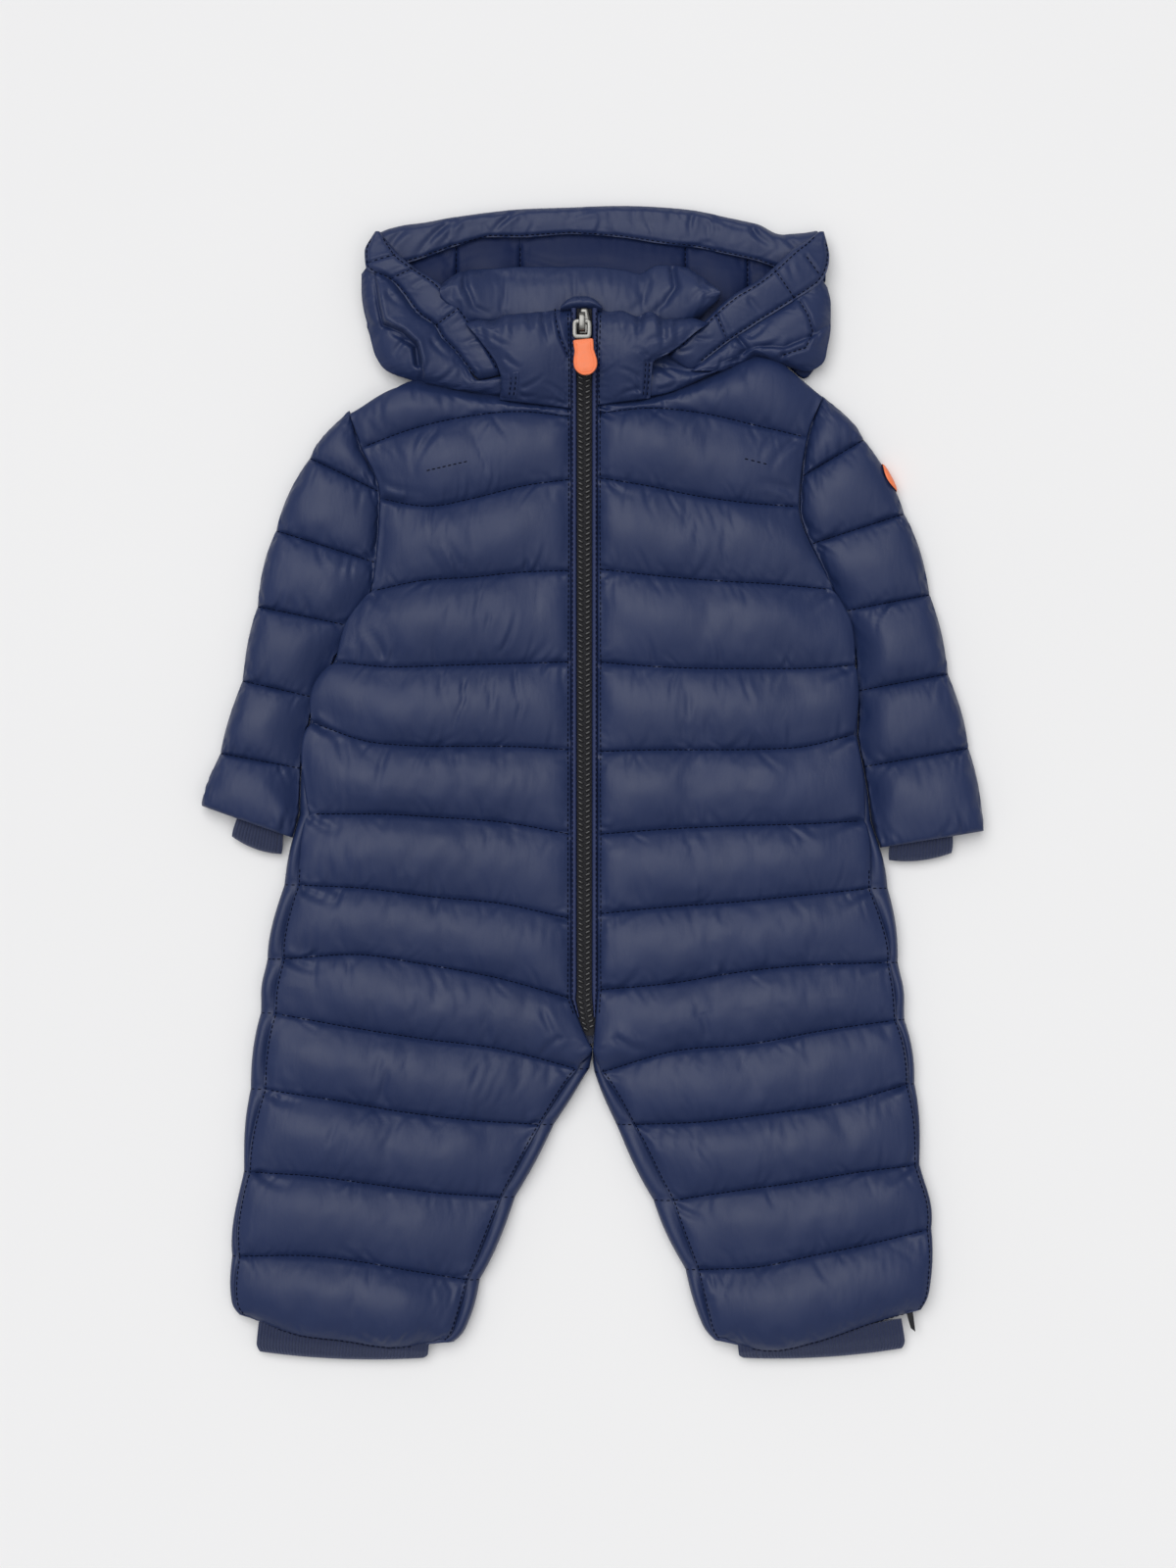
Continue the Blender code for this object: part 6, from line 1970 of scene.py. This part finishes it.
@dataclass
class Studio:
    """The pale floor, the soft lights and the camera straight above."""

    centre: tuple = (-2.8, -1.2)
    framed: float = 928.0
    lens: float = 100.0
    focus_height: float = 14.0
    floor_size: float = 12.0
    sky: float = 0.36

    def camera(self) -> None:
        """Makes the camera, which frames the suit as a tall picture does."""
        data = bpy.data.cameras.new("overhead")
        data.sensor_fit = "VERTICAL"
        data.sensor_height = 36.0
        data.lens = self.lens
        data.clip_end = 20.0
        camera = bpy.data.objects.new("overhead", data)
        distance = self.framed * self.lens / data.sensor_height + self.focus_height
        camera.location = Vector((*self.centre, distance)) * MM
        bpy.context.scene.collection.objects.link(camera)
        bpy.context.scene.camera = camera

    def light(self, name: str, place: tuple, spread: float, strength: float) -> None:
        """Makes a broad soft light that comes from far off, from the direction of a place."""
        data = bpy.data.lights.new(name, "SUN")
        data.angle = math.radians(spread)
        data.energy = strength
        lamp = bpy.data.objects.new(name, data)
        lamp.location = place
        lamp.rotation_euler = (-Vector(place)).to_track_quat("-Z", "Y").to_euler()
        bpy.context.scene.collection.objects.link(lamp)

    def build(self) -> None:
        """Builds the floor, the lights and the camera."""
        bm = bmesh.new()
        bmesh.ops.create_grid(bm, x_segments=2, y_segments=2, size=self.floor_size)
        bmesh.ops.translate(bm, verts=bm.verts, vec=(0.0, 0.0, -0.0002))
        book = Recipe("pale_floor")
        colour = book.blend(book.noise(3.0, 2.0), (0.84, 0.84, 0.845), (0.86, 0.86, 0.865))
        floor = piece_from(bm, "floor", book.finish(Base_Color=colour, Roughness=0.9))
        self.camera()
        self.light("key", place=(-0.5, 0.9, 2.4), spread=50.0, strength=1.5)
        self.light("top", place=(0.1, -0.3, 2.5), spread=70.0, strength=0.69)
        world = bpy.data.worlds.new("studio")
        world.use_nodes = True
        sky = world.node_tree.nodes["Background"].inputs
        sky["Color"].default_value = (1.0, 1.0, 1.0, 1.0)
        sky["Strength"].default_value = self.sky
        bpy.context.scene.world = world
        bpy.context.scene.view_settings.view_transform = "Standard"


# ---- The suit ----

@dataclass
class Snowsuit:
    """The whole suit: builds its pieces, puts each on its body and hides the solid it stands for."""

    cloth: Settle

    def __post_init__(self) -> None:
        """Makes the finishes, and starts the stitching."""
        self.nylon = Nylon("navy_nylon", (0.011, 0.022, 0.075), (0.015, 0.028, 0.093)).make()
        # The lining's darker colour is painted shade for the hood's shallow hollow; its cloth is otherwise like the
        # shell's nylon.
        self.lining = Nylon("navy_lining", (0.005, 0.012, 0.052), (0.008, 0.018, 0.07), 0.56, 0.18).make()
        self.knit = Knit("navy_rib_knit", (0.007, 0.013, 0.045), (0.020, 0.031, 0.09)).make()
        self.welt_cloth = Woven("navy_welt", (0.012, 0.022, 0.085), (0.022, 0.036, 0.12), 0.5).make()
        self.tape_cloth = Woven("black_tape", (0.006, 0.006, 0.009), (0.02, 0.02, 0.026), 0.8).make()
        # The near-black thread is partly the thread's own dark navy and partly painted shade: it darkens the seam
        # lines as their shade would.
        self.thread = Woven("navy_thread", (0.001, 0.002, 0.008), (0.003, 0.004, 0.015), 0.9, gloss=0.1).make()
        self.teeth = Hard("black_teeth", (0.014, 0.014, 0.016), 0.2).make()
        self.metal = Hard("slider_metal", (0.2, 0.197, 0.187), 0.3, 1.0).make()
        self.rubber = Hard("orange_rubber", (1.0, 0.235, 0.085), 0.5).make()
        self.quilting = Stitching("quilting_stitches", self.thread)

    def place(self, piece: Piece, slot: str, *nodes: str, body: str = "garment") -> Piece:
        """Puts a piece on its body, hides the solids it stands for, and reports its face count."""
        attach(piece, body)
        if nodes:
            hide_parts(*nodes)
        LOG.info("%s: %d faces", piece.name, len(piece.data.polygons))
        return piece

    def padded(self, piece: Piece, node: str) -> None:
        """Puts a padded piece of the shell in its solid's place."""
        self.place(piece, "shell_nylon", node)

    def panel(self, panel: Panel, node: str, fill: float = 0.6) -> Panel:
        """Builds a panel of the hood or collar, and sews its lines."""
        self.padded(panel.build(self.cloth), node)
        panel.stitch(self.quilting)
        return panel

    def front(self, side: Side) -> None:
        """Builds one front and its stitches."""
        front = Front(side, self.nylon)
        self.padded(front.build(self.cloth), f"front_{side.word}")
        surface, sew = front.surface, self.quilting.line
        for row in front.sewn_rows[1:]:
            sew(surface[row, 1:-3])
        beside_zip = 0.6 * surface[:, 1] + 0.4 * surface[:, 2]
        sew(beside_zip[beside_zip[:, 1] > WELT_BOTTOM])
        for dash in CHEST_DASHES[side]:
            sew(on_surface(surface, dash))
        sew(surface[surface[:, -2, 1] < HIP_SEAM_TOP, -2])
        sew(surface[surface[:, 1, 1] < INNER_LEG_TOP, 1])

    def back(self, side: Side) -> None:
        """Builds one back and the stitches that show past the front."""
        back = Back(side, self.nylon)
        self.padded(back.build(), f"back_{side.word}")
        for row in back.sewn_rows:
            if back.surface[row, -1, 1] < HIP_SEAM_TOP:
                self.quilting.line(back.surface[row, -12:-4])
            if row >= back.sewn_rows[CROTCH_ROW - 1]:
                self.quilting.line(back.surface[row, 4:12])

    def sleeve(self, side: Side) -> Sleeve:
        """Builds one sleeve and its stitches."""
        sleeve = Sleeve(side, self.nylon)
        self.padded(sleeve.build(self.cloth), f"sleeve_{side.word}")
        for row in sleeve.sewn_rows[1:-1]:
            self.quilting.line(sleeve.surface[row, 4:-4])
        return sleeve

    def cuffs(self) -> None:
        """Builds the four knitted cuffs."""
        for node in CUFFS:
            cuff = KnitCuff(node, self.knit)
            piece = self.place(cuff.build(), "cuff_knit", node)

    def hood(self) -> None:
        """Builds the hood."""
        hood = Hood(self.nylon, self.lining)
        self.panel(hood.crown(), "hood_crown")
        self.panel(hood.top_band(), "hood_band_top")
        for side in Side:
            band, panel = hood.side(side)
            self.panel(band, f"hood_band_{side.word}")
            self.panel(panel, f"hood_side_{side.word}")

    def collar(self) -> None:
        """Builds the collar, with the hood's end tabs and the zip's guard on it."""
        collar = Collar(self.nylon)
        right = self.panel(collar.front(Side.RIGHT), "collar_right")
        left = self.panel(collar.front(Side.LEFT), "collar_left")
        for front in (right, left):
            self.quilting.line(0.4 * front.surface[:-4, 1] + 0.6 * front.surface[:-4, 2])
        self.panel(collar.back(), "collar_back")
        self.panel(collar.right_tab(right), "hood_tab_right", 0.4)
        self.panel(collar.left_tab(), "hood_tab_left", 0.4)
        self.panel(collar.guard(), "zip_guard", 0.3)

    def zip(self) -> None:
        """Builds the zip with its welts, slider and pull."""
        zipper = Zip(self.tape_cloth, self.welt_cloth, self.teeth, self.metal)
        tape = self.place(zipper.tape(), "zip_tape", "zip_tape")
        teeth = self.place(zipper.teeth(), "zip_tape")
        for side in Side:
            welt = self.place(zipper.welt(side, self.quilting), "zip_welt", f"zip_welt_{side.word}")
        for piece in zipper.slider():
            self.place(piece, "slider_metal", "zip_slider")
        self.place(zipper.pull(), "slider_metal", "pull_frame", body="zip_pull")
        self.place(Grip(self.rubber).build(), "grip_rubber", "pull_grip", body="zip_pull")

    def build(self) -> None:
        """Builds every piece."""
        for side in Side:
            self.front(side)
            self.back(side)
            sleeve = self.sleeve(side)
        self.cuffs()
        self.hood()
        self.collar()
        self.zip()
        self.place(Patch(self.rubber).build(sleeve), "grip_rubber", "sleeve_patch")
        self.place(HemTab(self.tape_cloth).build(), "zip_tape", "hem_tab")
        self.place(self.quilting.build(), "shell_nylon")


def main() -> None:
    """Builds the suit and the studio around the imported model."""
    logging.basicConfig(level=logging.INFO)
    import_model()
    suit = Snowsuit(Settle())
    suit.build()
    Studio().build()


if __name__ == "__main__":
    main()
